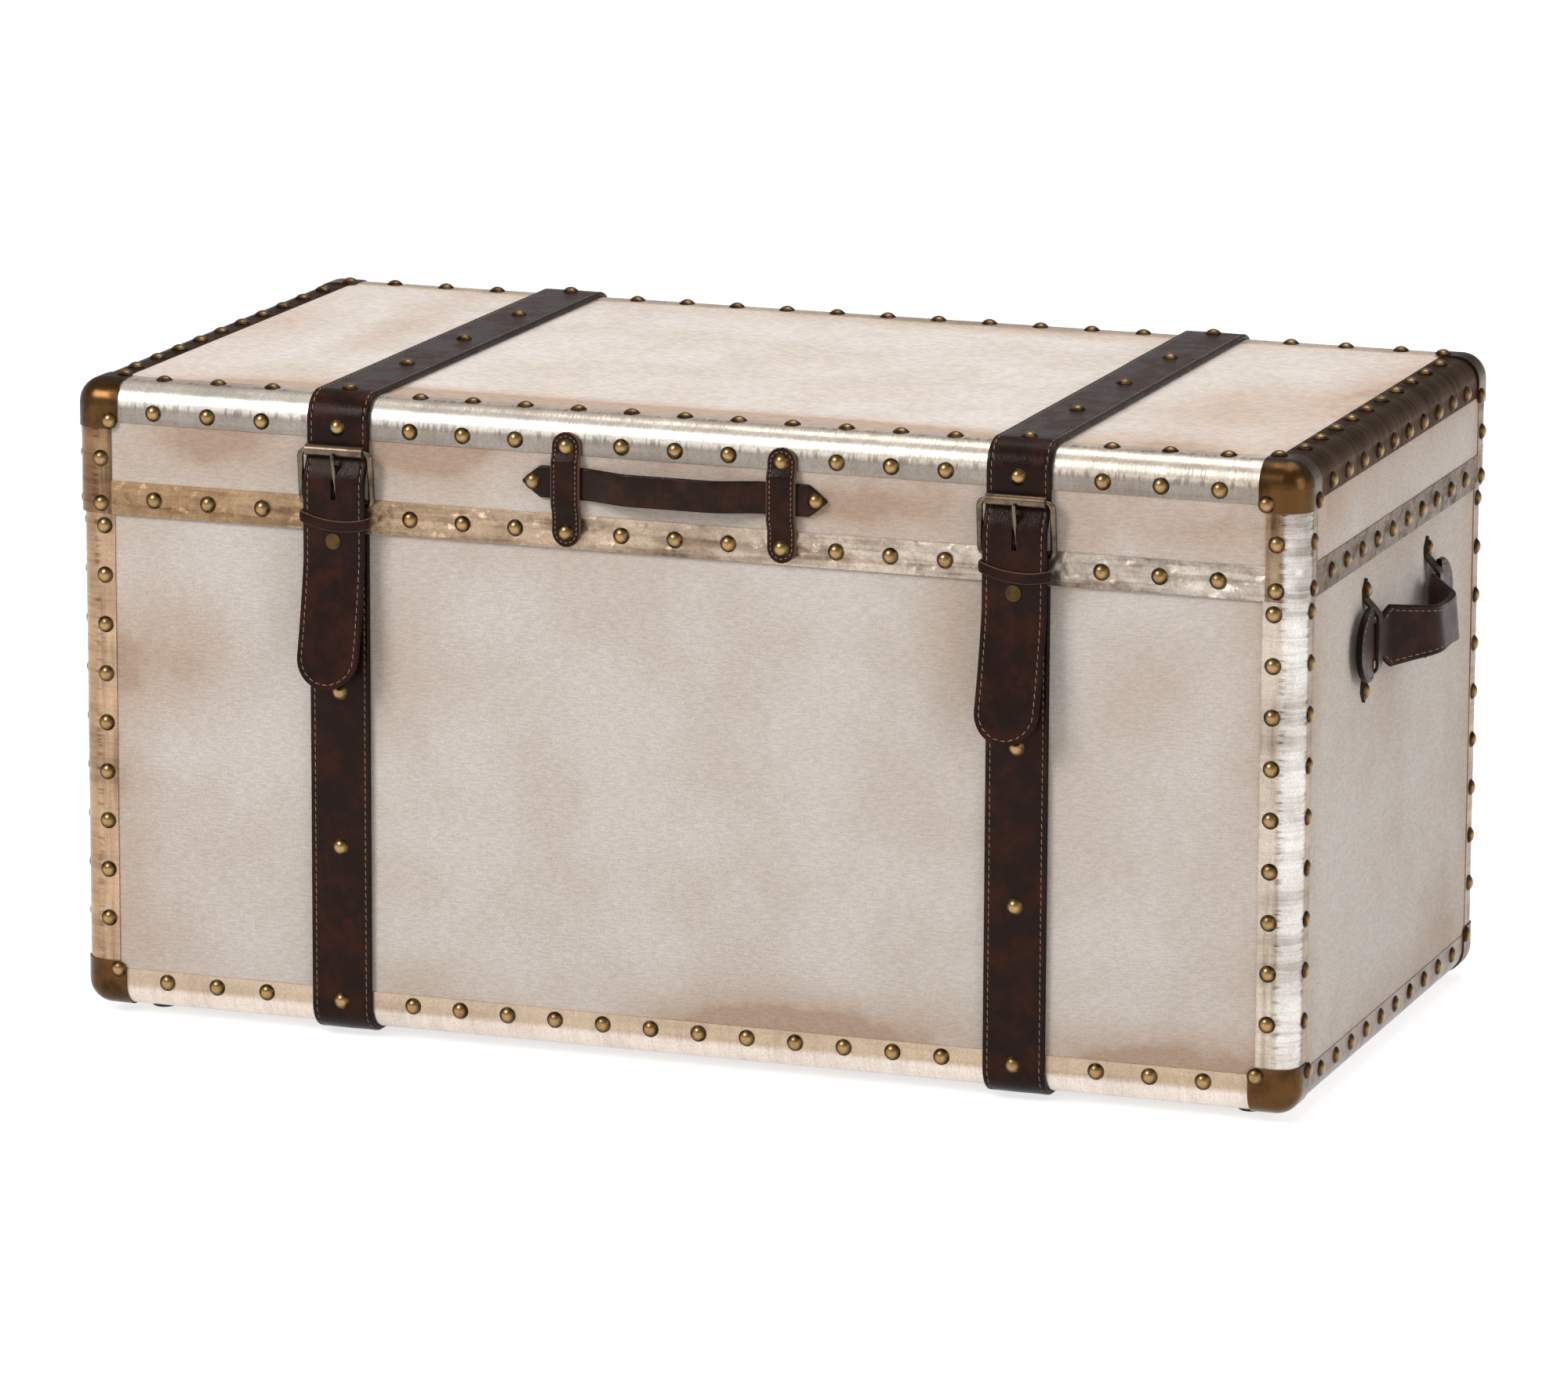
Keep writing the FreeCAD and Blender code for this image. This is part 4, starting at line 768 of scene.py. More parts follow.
# The end trims on top are painted dark all over: painted reflection.
DARK_EDGING = Edging(
    "finish_dark_edging",
    run=Run.ALONG_Y,
    left=tone(84, 66, 54),
    right=tone(64, 46, 36),
    round_left=tone(76, 58, 46),
    round_right=tone(62, 44, 34),
    ends=tone(68, 50, 40),
    above=tone(76, 57, 45),
    tarnish=tone(28, 19, 14),
    glance=tone(234, 216, 203),
    age=0.7,
    crumple=0.5,
)
BOTTOM_EDGING = Edging(
    "finish_bottom_edging",
    left=tone(202, 181, 158),
    right=tone(198, 176, 150),
    round_left=tone(220, 206, 194),
    round_right=tone(226, 214, 204),
    age=0.16,
    ticks=0.12,
    waver=0.0005,
)
GREY_EDGING = Edging(
    "finish_grey_edging",
    run=Run.ALONG_Y,
    ends=tone(166, 152, 141),
    round_left=tone(176, 162, 150),
    round_right=tone(120, 105, 94),
)
UPRIGHT_EDGING = Edging(
    "finish_upright_edging",
    run=Run.ALONG_Z,
    drawn=(1.0, 1.0, 0.06),
    left=tone(200, 169, 138),
    right=tone(210, 196, 180),
    round_left=tone(176, 144, 112),
    round_right=tone(222, 218, 212),
    ends=tone(184, 165, 148),
    tarnish=tone(96, 70, 48),
    spread=0.1,
    age=0.42,
    crumple=0.4,
    dent=2.2,
)
LID_UPRIGHT_EDGING = replace(
    UPRIGHT_EDGING,
    name="finish_lid_upright_edging",
    left=tone(168, 136, 102),
    right=tone(176, 152, 124),
    round_left=tone(140, 108, 78),
    tarnish=tone(84, 60, 40),
    age=0.55,
    crumple=0.6,
    dent=4.0,
)
BAND_EDGING = Edging(
    "finish_band_edging",
    run=Run.ROUND,
    left=tone(182, 149, 112),
    right=tone(216, 206, 194),
    round_left=tone(150, 118, 90),
    round_right=tone(222, 216, 208),
    ends=tone(134, 118, 104),
    tarnish=tone(92, 67, 45),
    age=0.5,
    crumple=0.9,
    dent=8.0,
)


# Meshes


def finish_piece(mesh: BMesh, name: str, finish: Finish, sharp: float = 35.0) -> bpy.types.Object:
    """Turns a finished bmesh into an object at the origin.

    Args:
        mesh: The shape, in metres, in the trunk's frame. It is freed.
        name: The piece's name.
        finish: Its finish.
        sharp: Edges steeper than this many degrees stay sharp.

    Returns:
        The new object.
    """
    bmesh.ops.recalc_face_normals(mesh, faces=mesh.faces[:])
    data = bpy.data.meshes.new(name)
    mesh.to_mesh(data)
    mesh.free()
    data.shade_smooth()
    data.set_sharp_from_angle(angle=math.radians(sharp))
    piece = bpy.data.objects.new(name, data)
    bpy.context.scene.collection.objects.link(piece)
    data.materials.append(finish.material())
    log.info("%s: %d faces", name, len(data.polygons))
    return piece


def join_shapes(shapes: Sequence[BMesh]) -> BMesh:
    """Joins shapes into one.

    Args:
        shapes: The shapes, which are freed.

    Returns:
        The joined shape, which keeps their rims.
    """
    whole = bmesh.new()
    whole.verts.layers.float.new("rim")
    for shape in shapes:
        part = bpy.data.meshes.new("part")
        shape.to_mesh(part)
        shape.free()
        whole.from_mesh(part)
        bpy.data.meshes.remove(part)
    return whole


def stand_in(piece: bpy.types.Object, body: str, slot: str, *nodes: str) -> None:
    """Makes a piece ride on a body in place of CAD nodes.

    Args:
        piece: The piece.
        body: The body that carries it.
        slot: The record's material slot; it is not used.
        *nodes: The nodes that it stands for.
    """
    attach(piece, body)
    if nodes:
        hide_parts(*nodes)


@dataclass(frozen=True)
class Sizes:
    """The trunk's main sizes in millimetres, as its solids have them."""

    body_width: float = 797.0
    body_depth: float = 413.0
    lid_width: float = 800.0
    lid_depth: float = 416.0
    base: float = 7.0
    seam: float = 324.0
    lid_base: float = 324.4
    lid_top: float = 408.0
    edge_radius: float = 15.0
    edging: float = 0.8
    wall: float = 13.8
    canvas: float = 1.0
    lining: float = 1.0
    strap_offset: float = 221.0
    shift: float = 6.1957

    def point(self, x: float, y: float, z: float) -> Vector:
        """Turns a place in millimetres about the trunk's middle into metres in its frame."""
        return Vector((x, y + self.shift, z)) * MM

    def straps(self) -> tuple[tuple[str, float], ...]:
        """Returns each strap's side and its distance from the trunk's middle."""
        return (("left", -self.strap_offset), ("right", self.strap_offset))


SIZES = Sizes()


@dataclass(frozen=True)
class BentLine:
    """A line of straight runs with rounded corners, as (along, outward) points in millimetres."""

    points: tuple[Point, ...]
    radii: tuple[float, ...]

    def stretches(self) -> list[tuple[float, Vector, Vector, float]]:
        """Splits the line into straight and round stretches.

        Returns:
            Length, start, direction and bend (turn per length, 0 where straight) of each.
        """
        places = [Vector(point) for point in self.points]
        ways = [(end - start).normalized() for start, end in zip(places, places[1:])]
        found = []
        current = places[0]
        for index, radius in enumerate(self.radii):
            turn = ways[index].angle_signed(ways[index + 1])
            reach = radius * math.tan(abs(turn) / 2)
            start = places[index + 1] - ways[index] * reach
            if (start - current).length > 1e-4:
                found.append(((start - current).length, current, ways[index], 0.0))
            found.append((radius * abs(turn), start, ways[index], -math.copysign(1 / radius, turn)))
            current = places[index + 1] + ways[index + 1] * reach
        found.append(((places[-1] - current).length, current, ways[-1], 0.0))
        return found

    def length(self) -> float:
        """Returns the whole length."""
        return sum(stretch[0] for stretch in self.stretches())

    def stations(self, step: float, angle: float = 8.0) -> list[float]:
        """Chooses distances along the line, closer together on bends.

        Args:
            step: The longest gap on straight runs.
            angle: The largest turn between two, in degrees.

        Returns:
            The distances, from 0 to the whole length.
        """
        found = [0.0]
        for length, _, _, bend in self.stretches():
            count = math.ceil(length / step)
            if bend:
                count = max(2, math.ceil(math.degrees(length * abs(bend)) / angle))
            start = found[-1]
            found += [start + length * index / count for index in range(1, count + 1)]
        return found

    def at(self, distance: float) -> tuple[Vector, Vector]:
        """Finds a place on the line.

        Args:
            distance: How far along it.

        Returns:
            The place and the direction there.
        """
        stretches = self.stretches()
        for index, (length, start, way, bend) in enumerate(stretches):
            if distance <= length or index == len(stretches) - 1:
                break
            distance -= length
        if not bend:
            return start + way * distance, way
        side = Vector((-way.y, way.x))
        centre = start + side / bend
        spin = Matrix.Rotation(distance * bend, 2)
        return centre + spin @ (start - centre), spin @ way


def whole_width(_: float) -> float:
    """Returns the full width everywhere."""
    return 1.0


@dataclass
class Strip:
    """A leather strip cut to an outline, with rounded edges, laid along a bent line.

    Its line lies in the plane of along and outward, and face says on which side of it the
    strip's face is. Lengths are in millimetres, and origin is in metres.
    """

    name: str
    line: BentLine
    width: float
    thickness: float
    origin: Vector
    along: Vector
    outward: Vector
    face: float = 1.0
    share: Callable[[float], float] = whole_width
    extra: tuple[float, ...] = ()
    groove: float = 3.3
    groove_half: float = 0.55
    groove_depth: float = 0.28
    crown: float = 0.12
    lean: float = 0.0
    lean_from: float = 0.0
    tip_shear: float = 0.0
    droop: float = 0.0
    droop_level: float = 0.55
    slope: float = 0.0
    slope_fade: float = 1.6
    slot: tuple[float, float, float] | None = None
    slot_slack: float = 0.1
    seed: float = 0.0
    wobble: float = 0.12
    ripples: Point = (0.02, 0.03)
    step: float = 8.0
    closest: float = 0.02
    total: float = field(init=False, default=0.0)

    def __post_init__(self) -> None:
        """Keeps the line's whole length."""
        self.total = self.line.length()

    def section(self) -> list[Triple]:
        """Works out the cut across the strip.

        Returns:
            (across, above the middle, rim) round the section, from the left edge over the face.
        """
        half, thick = self.width / 2, self.thickness
        level = 0.5 * thick
        top = [
            (-half, 0.12 * thick, 1.0),
            (-half + 0.12 * thick, 0.36 * thick, 1.0),
            (-half + 0.4 * thick, level, 0.5),
        ]
        inner = half * 0.6
        if self.groove > 0:
            for offset, dip in ((-self.groove_half, 0.0), (0.0, self.groove_depth), (self.groove_half, 0.0)):
                top.append((-half + self.groove + offset, level - dip, 0.0))
            inner = half - max(self.groove + 2.0, 3.0)
        top += [(-inner * share, level + self.crown * (1 - share), 0.0) for share in (1.0, 0.6)]
        top.append((-self.slot[2] if self.slot else -inner * 0.15, level + self.crown, 0.0))
        right = [(-across, above, rim) for across, above, rim in reversed(top)]
        under = [
            (half, -0.12 * thick, 1.0),
            (half - 0.2 * thick, -0.45 * thick, 0.8),
            (half - 0.6 * thick, -level, 0.0),
        ]
        if self.slot:
            under.append((self.slot[2], -level, 0.0))
        under += [(-across, above, rim) for across, above, rim in reversed(under)]
        return top + right + under

    def place(self, distance: float, across: float, above: float) -> Vector:
        """Finds a point of the strip.

        Args:
            distance: How far along the line.
            across: How far to the side.
            above: How far above the middle of its thickness, on its face's side.

        Returns:
            The point, in metres.
        """
        spot, way = self.line.at(distance)
        normal = Vector((-way.y, way.x)) * self.face
        lengthwise, sideways = self.ripples
        ripple = noise.noise(Vector((distance * lengthwise, self.seed, across * sideways))) * self.wobble
        middle_share = max(0.0, 1.0 - abs(2 * distance / self.total - 1) * self.slope_fade)
        above += ripple + self.slope * across * middle_share
        side = self.along.cross(self.outward)
        across += self.lean * max(0.0, (distance - self.lean_from) / (self.total - self.lean_from)) ** 2
        spot = spot + normal * above
        point = self.along * spot.x + self.outward * spot.y + side * across
        hang = self.tip_shear * spot.x
        if self.droop:
            reach = max(abs(corner[0]) for corner in self.line.points)
            hang += self.droop * (self.droop_level - min(1.0, abs(spot.x) / reach) ** 2)
        return self.origin + (point - side * hang) * MM

    def build(self) -> BMesh:
        """Cuts the strip and bends it.

        Returns:
            The closed shape.
        """
        every = sorted(set(self.line.stations(self.step)) | set(self.extra))
        stations = every[:1] + [value for last, value in zip(every, every[1:]) if value - last > self.closest]
        section = self.section()
        rows, columns = len(stations), len(section)
        mesh = bmesh.new()
        bmesh.ops.create_grid(mesh, x_segments=rows - 1, y_segments=columns, size=0.5)
        rim_layer = mesh.verts.layers.float.new("rim")
        level = 0.5 * self.thickness
        spots = {}
        for vertex in mesh.verts:
            row = round((vertex.co.x + 0.5) * (rows - 1))
            column = round((vertex.co.y + 0.5) * columns) % columns
            across, above, rim = section[column]
            distance = stations[row]
            share = self.share(distance)
            if self.groove > 0 and above > 0 and rim == 0.0:
                above = level + (above - level) * min(1.0, max(0.0, share * 3 - 2))
            spots[vertex] = (distance, across)
            vertex[rim_layer] = 1.0 if row in (0, rows - 1) else rim
            vertex.co = self.place(distance, across * share, above)
        cut = self.slot_faces(mesh, spots)
        bmesh.ops.remove_doubles(mesh, verts=mesh.verts[:], dist=MERGE)
        cut = [face for face in cut if face.is_valid]
        ends = [edge for edge in mesh.edges if edge.is_boundary]
        bmesh.ops.holes_fill(mesh, edges=ends, sides=0)
        if cut:
            bmesh.ops.delete(mesh, geom=cut, context="FACES_ONLY")
            loose = [edge for edge in mesh.edges if not edge.link_faces]
            bmesh.ops.delete(mesh, geom=loose, context="EDGES")
            bmesh.ops.bridge_loops(mesh, edges=[edge for edge in mesh.edges if edge.is_boundary])
        return mesh

    def slot_faces(self, mesh: BMesh, spots: dict[bmesh.types.BMVert, Point]) -> list[bmesh.types.BMFace]:
        """Finds the faces that the slot cuts out.

        Args:
            mesh: The strip before its edges are merged.
            spots: The distance and the place across of each vertex.

        Returns:
            The faces, on both sides of the strip.
        """
        if self.slot is None:
            return []
        start, end, half = self.slot
        slack = self.slot_slack
        inside = {
            vertex
            for vertex, (distance, across) in spots.items()
            if start - slack < distance < end + slack and abs(across) < half + slack
        }
        return [face for face in mesh.faces if all(corner in inside for corner in face.verts)]

    def frame_at(self, distance: float, across: float, above: float, heading: float) -> Matrix:
        """Finds the place and turn of something laid on the face.

        Args:
            distance: How far along the line.
            across: How far to the side.
            above: How far above the middle of the thickness.
            heading: Its direction on the face, in radians from the line's own.

        Returns:
            A placement whose X is the heading and Z stands off the face.
        """
        small = 0.4
        here = self.place(distance, across, above)
        ahead = self.place(distance + small * math.cos(heading), across + small * math.sin(heading), above)
        over = self.place(distance, across, above + small)
        x_way = (ahead - here).normalized()
        z_way = (over - here).normalized()
        y_way = z_way.cross(x_way).normalized()
        return Matrix.Translation(here) @ Matrix((x_way, y_way, z_way)).transposed().to_4x4()


@dataclass
class Stitching:
    """Short tan stitches laid in rows on leather strips, all one piece."""

    name: str
    pitch: float = 4.8
    length: float = 4.1
    gauge: float = 0.65
    sunk: float = 0.06
    slant: float = 0.09
    mesh: BMesh = field(default_factory=bmesh.new)
    count: int = 0

    def sew(self, strip: Strip, runs: Iterable[Sequence[Point]]) -> None:
        """Sews rows of stitches along lines drawn on a strip.

        Args:
            strip: The strip.
            runs: Lines of (distance, across) points.
        """
        above = strip.thickness / 2 - self.sunk
        size = Matrix.Diagonal((self.length / 2 * MM, self.gauge / 2 * MM, self.gauge * 0.42 * MM, 1.0))
        for run in runs:
            places = [Vector(point) for point in run]
            lengths = [(end - start).length for start, end in zip(places, places[1:])]
            whole = sum(lengths)
            count = max(1, round(whole / self.pitch))
            for index in range(count):
                distance = (index + 0.5) * whole / count
                for start, end, length in zip(places, places[1:], lengths):
                    if distance <= length or end is places[-1]:
                        break
                    distance -= length
                spot = start.lerp(end, min(1.0, distance / max(length, 1e-6)))
                way = end - start
                turn = strip.frame_at(spot.x, spot.y, above, math.atan2(way.y, way.x) + self.slant)
                bmesh.ops.create_icosphere(self.mesh, subdivisions=1, radius=1.0, matrix=turn @ size)
                self.count += 1

    def piece(self) -> bpy.types.Object:
        """Returns the finished piece."""
        log.info("%s: %d stitches", self.name, self.count)
        return finish_piece(self.mesh, self.name, THREAD, sharp=80.0)


def round_ends(total: float, half: float, both: bool = False) -> Callable[[float], float]:
    """Rounds off a strip's far end, and its near end too where both are asked for.

    Args:
        total: The strip's length.
        half: Half its width, the ends' radius.
        both: Whether the near end is round too.

    Returns:
        The share of the width that is left at a distance.
    """

    def share(distance: float) -> float:
        """Returns the share of the width at a distance."""
        into = max(0.0, distance - (total - half), half - distance if both else 0.0) / half
        return math.sqrt(max(0.0004, 1.0 - min(1.0, into) ** 2))

    return share


def end_steps(total: float, half: float, both: bool = False) -> tuple[float, ...]:
    """Chooses distances close together on round ends.

    Args:
        total: The strip's length.
        half: The ends' radius.
        both: Whether the near end is round too.

    Returns:
        The distances.
    """
    steps = [half * (1 - math.sin(math.radians(angle))) for angle in range(0, 91, 9)]
    found = [total - value for value in steps]
    return tuple(found + steps if both else found)


def seam_round_end(start: float, total: float, half: float, inset: float) -> list[Point]:
    """Draws a stitch line down one side, round a round end and back up the other.

    Args:
        start: Where the line starts.
        total: The strip's length.
        half: Half the strip's width.
        inset: How far the line keeps from the edge.

    Returns:
        The line's (distance, across) points.
    """
    centre = total - half
    radius = half - inset
    angles = [math.radians(angle) for angle in range(0, 181, 10)]
    arc = [(centre + radius * math.sin(angle), -radius * math.cos(angle)) for angle in angles]
    return [(start, -radius), *arc, (start, radius)]


@dataclass
class Cover:
    """Canvas and lining: open boxes with rounded edges, one for the body and one for the lid."""

    sizes: Sizes = SIZES
    lining_radius: float = 1.2
    segments: int = 7
    panel: float = 0.1
    least_panel: float = 0.03

    def open_box(self, low: Vector, high: Vector, opens_up: bool, radius: float) -> BMesh:
        """Makes an open box, cut into panels so that its flat sides shade evenly.

        Args:
            low: Its lowest corner, in metres.
            high: Its highest corner, in metres.
            opens_up: Whether the open side is the top.
            radius: The rounding of its closed edges, in millimetres.

        Returns:
            The box, with no thickness yet.
        """
        mesh = bmesh.new()
        bmesh.ops.create_cube(mesh, size=1.0)
        bmesh.ops.scale(mesh, vec=high - low, verts=mesh.verts[:])
        bmesh.ops.translate(mesh, vec=(low + high) / 2, verts=mesh.verts[:])
        sign = 1 if opens_up else -1
        mouth = max(mesh.faces, key=lambda face: face.calc_center_median().z * sign)
        bmesh.ops.bevel(
            mesh,
            geom=[edge for edge in mesh.edges if mouth not in edge.link_faces],
            offset=radius * MM,
            segments=self.segments,
            profile=0.5,
            affect="EDGES",
            clamp_overlap=True,
            material=-1,
        )
        level = high.z if opens_up else low.z
        gone = [face for face in mesh.faces if all(abs(end.co.z - level) < CLOSE for end in face.verts)]
        bmesh.ops.delete(mesh, geom=gone, context="FACES_ONLY")
        for axis in (0, 1):
            place = low[axis] + self.panel
            while place < high[axis] - self.least_panel:
                point, normal = Vector(), Vector()
                point[axis], normal[axis] = place, 1.0
                whole = [*mesh.verts, *mesh.edges, *mesh.faces]
                bmesh.ops.bisect_plane(mesh, geom=whole, plane_co=point, plane_no=normal, dist=CLOSE)
                place += self.panel
        return mesh

    def thicken(self, piece: bpy.types.Object, thickness: float) -> None:
        """Gives a box its thickness inwards.

        Args:
            piece: The box.
            thickness: The cloth's thickness, in millimetres.
        """
        solid = piece.modifiers.new("thickness", "SOLIDIFY")
        solid.thickness = thickness * MM
        solid.offset = -1.0
        weigh = piece.modifiers.new("even_shading", "WEIGHTED_NORMAL")
        weigh.keep_sharp = True

    def build(self) -> None:
        """Makes the canvas and the lining of both halves."""
        s = self.sizes
        halves = (
            ("body", s.body_width, s.body_depth, s.base, s.seam),
            ("lid", s.lid_width, s.lid_depth, s.lid_base, s.lid_top),
        )
        coats = (
            ("canvas", "_canvas_cover", s.edging, s.edge_radius - s.edging, s.canvas, CANVAS),
            ("lining", "_cloth_lining", s.wall, self.lining_radius, s.lining, LINING),
        )
        for half, width, depth, low, high in halves:
            opens_up = half == "body"
            for slot, ending, inset, radius, thickness, finish in coats:
                x, y = width / 2 - inset, depth / 2 - inset
                foot = s.point(-x, -y, low + inset if opens_up else low)
                head = s.point(x, y, high if opens_up else high - inset)
                box = self.open_box(foot, head, opens_up, radius)
                piece = finish_piece(box, half + ending, finish, sharp=60.0)
                self.thicken(piece, thickness)
                stand_in(piece, half, slot, half + "_" + slot)


@dataclass
class Nails:
    """Dome nails, each turned on its own axis and set where the solids have it."""

    head_radius: float = 5.25
    head_height: float = 3.0
    rim: float = 0.35
    undercut: float = 0.25
    shank_radius: float = 0.9
    length: float = 10.0
    point: float = 1.0
    sides: int = 20
    rings: int = 6
    twist: float = 1.7

    def pattern(self) -> bpy.types.Mesh:
        """Turns one nail from its outline.

        Returns:
            Its mesh, its head's underside at height zero.
        """
        mesh = bmesh.new()
        # The crown layer runs from 1 at the dome's top to 0 at its rim and on the shank; the nail finish
        # paints shade from it.
        crown = mesh.verts.layers.float.new("crown")
        sphere = (self.head_radius**2 + self.head_height**2) / (2 * self.head_height)
        dome = math.asin(self.head_radius / sphere)
        outline = [(0.0, self.head_height, 1.0)]
        for ring in range(1, self.rings + 1):
            angle = dome * ring / self.rings
            height = self.head_height - sphere * (1 - math.cos(angle))
            outline.append((sphere * math.sin(angle), max(self.rim, height), 1 - ring / self.rings))
        outline.append((self.head_radius - self.undercut, 0.0, 0.0))
        outline.append((self.shank_radius, 0.0, 0.0))
        outline.append((self.shank_radius, self.point - self.length, 0.0))
        outline.append((0.0, -self.length, 0.0))
        row = []
        for radius, height, light in outline:
            vertex = mesh.verts.new((radius * MM, 0.0, height * MM))
            vertex[crown] = light
            row.append(vertex)
        bmesh.ops.spin(
            mesh,
            geom=row + [mesh.edges.new(pair) for pair in zip(row, row[1:])],
            cent=(0, 0, 0),
            axis=(0, 0, 1),
            angle=math.tau,
            steps=self.sides,
            use_merge=True,
        )
        bmesh.ops.remove_doubles(mesh, verts=mesh.verts[:], dist=CLOSE)
        bmesh.ops.recalc_face_normals(mesh, faces=mesh.faces[:])
        data = bpy.data.meshes.new("nail_pattern")
        mesh.to_mesh(data)
        mesh.free()
        return data

    def islands(self, mesh: BMesh) -> list[list[bmesh.types.BMVert]]:
        """Parts a mesh into the shapes that hang together.

        Args:
            mesh: The mesh, its doubles merged.

        Returns:
            The vertices of each shape.
        """
        waiting = dict.fromkeys(mesh.verts)
        found = []
        while waiting:
            island = [waiting.popitem()[0]]
            for vertex in island:
                for edge in vertex.link_edges:
                    other = edge.other_vert(vertex)
                    if other in waiting:
                        del waiting[other]
                        island.append(other)
            found.append(island)
        return found

    def places(self, node: bpy.types.Object) -> list[Matrix]:
        """Finds where each nail of a CAD node sits and which way it points.

        Args:
            node: The CAD node, many nails in one mesh.

        Returns:
            One placement for each nail.
        """
        mesh = bmesh.new()
        mesh.from_mesh(node.data)
        bmesh.ops.remove_doubles(mesh, verts=mesh.verts[:], dist=CLOSE)
        found = []
        for island in self.islands(mesh):
            middle = sum((vertex.co for vertex in island), Vector()) / len(island)
            tip = max(island, key=lambda vertex: (vertex.co - middle).length).co
            top = max(island, key=lambda vertex: (vertex.co - tip).length_squared).co
            way = (top - tip).normalized()
            axis = max((X_AXIS, -X_AXIS, Y_AXIS, -Y_AXIS, Z_AXIS, -Z_AXIS), key=way.dot)
            reach = max((vertex.co - tip).dot(axis) for vertex in island)
            base = tip + axis * (reach - self.head_height * MM)
            found.append(Matrix.Translation(base) @ axis.to_track_quat("Z", "Y").to_matrix().to_4x4())
        mesh.free()
        return found

    def build(self, frame: dict) -> None:
        """Sets every nail of the body and the lid.
        """
        pattern = self.pattern()
        for body in ("body", "lid"):
            mesh = bmesh.new()
            mesh.verts.layers.float.new("crown")
            for index, place in enumerate(self.places(frame["nodes"][body + "_nails"])):
                before = len(mesh.verts)
                mesh.from_mesh(pattern)
                mesh.verts.ensure_lookup_table()
                turn = Matrix.Rotation(index * self.twist, 4, "Z")
                bmesh.ops.transform(mesh, matrix=place @ turn, verts=mesh.verts[before:])
            piece = finish_piece(mesh, body + "_dome_nails", NAIL_BRASS, sharp=50.0)
            stand_in(piece, body, "nail", body + "_nails")


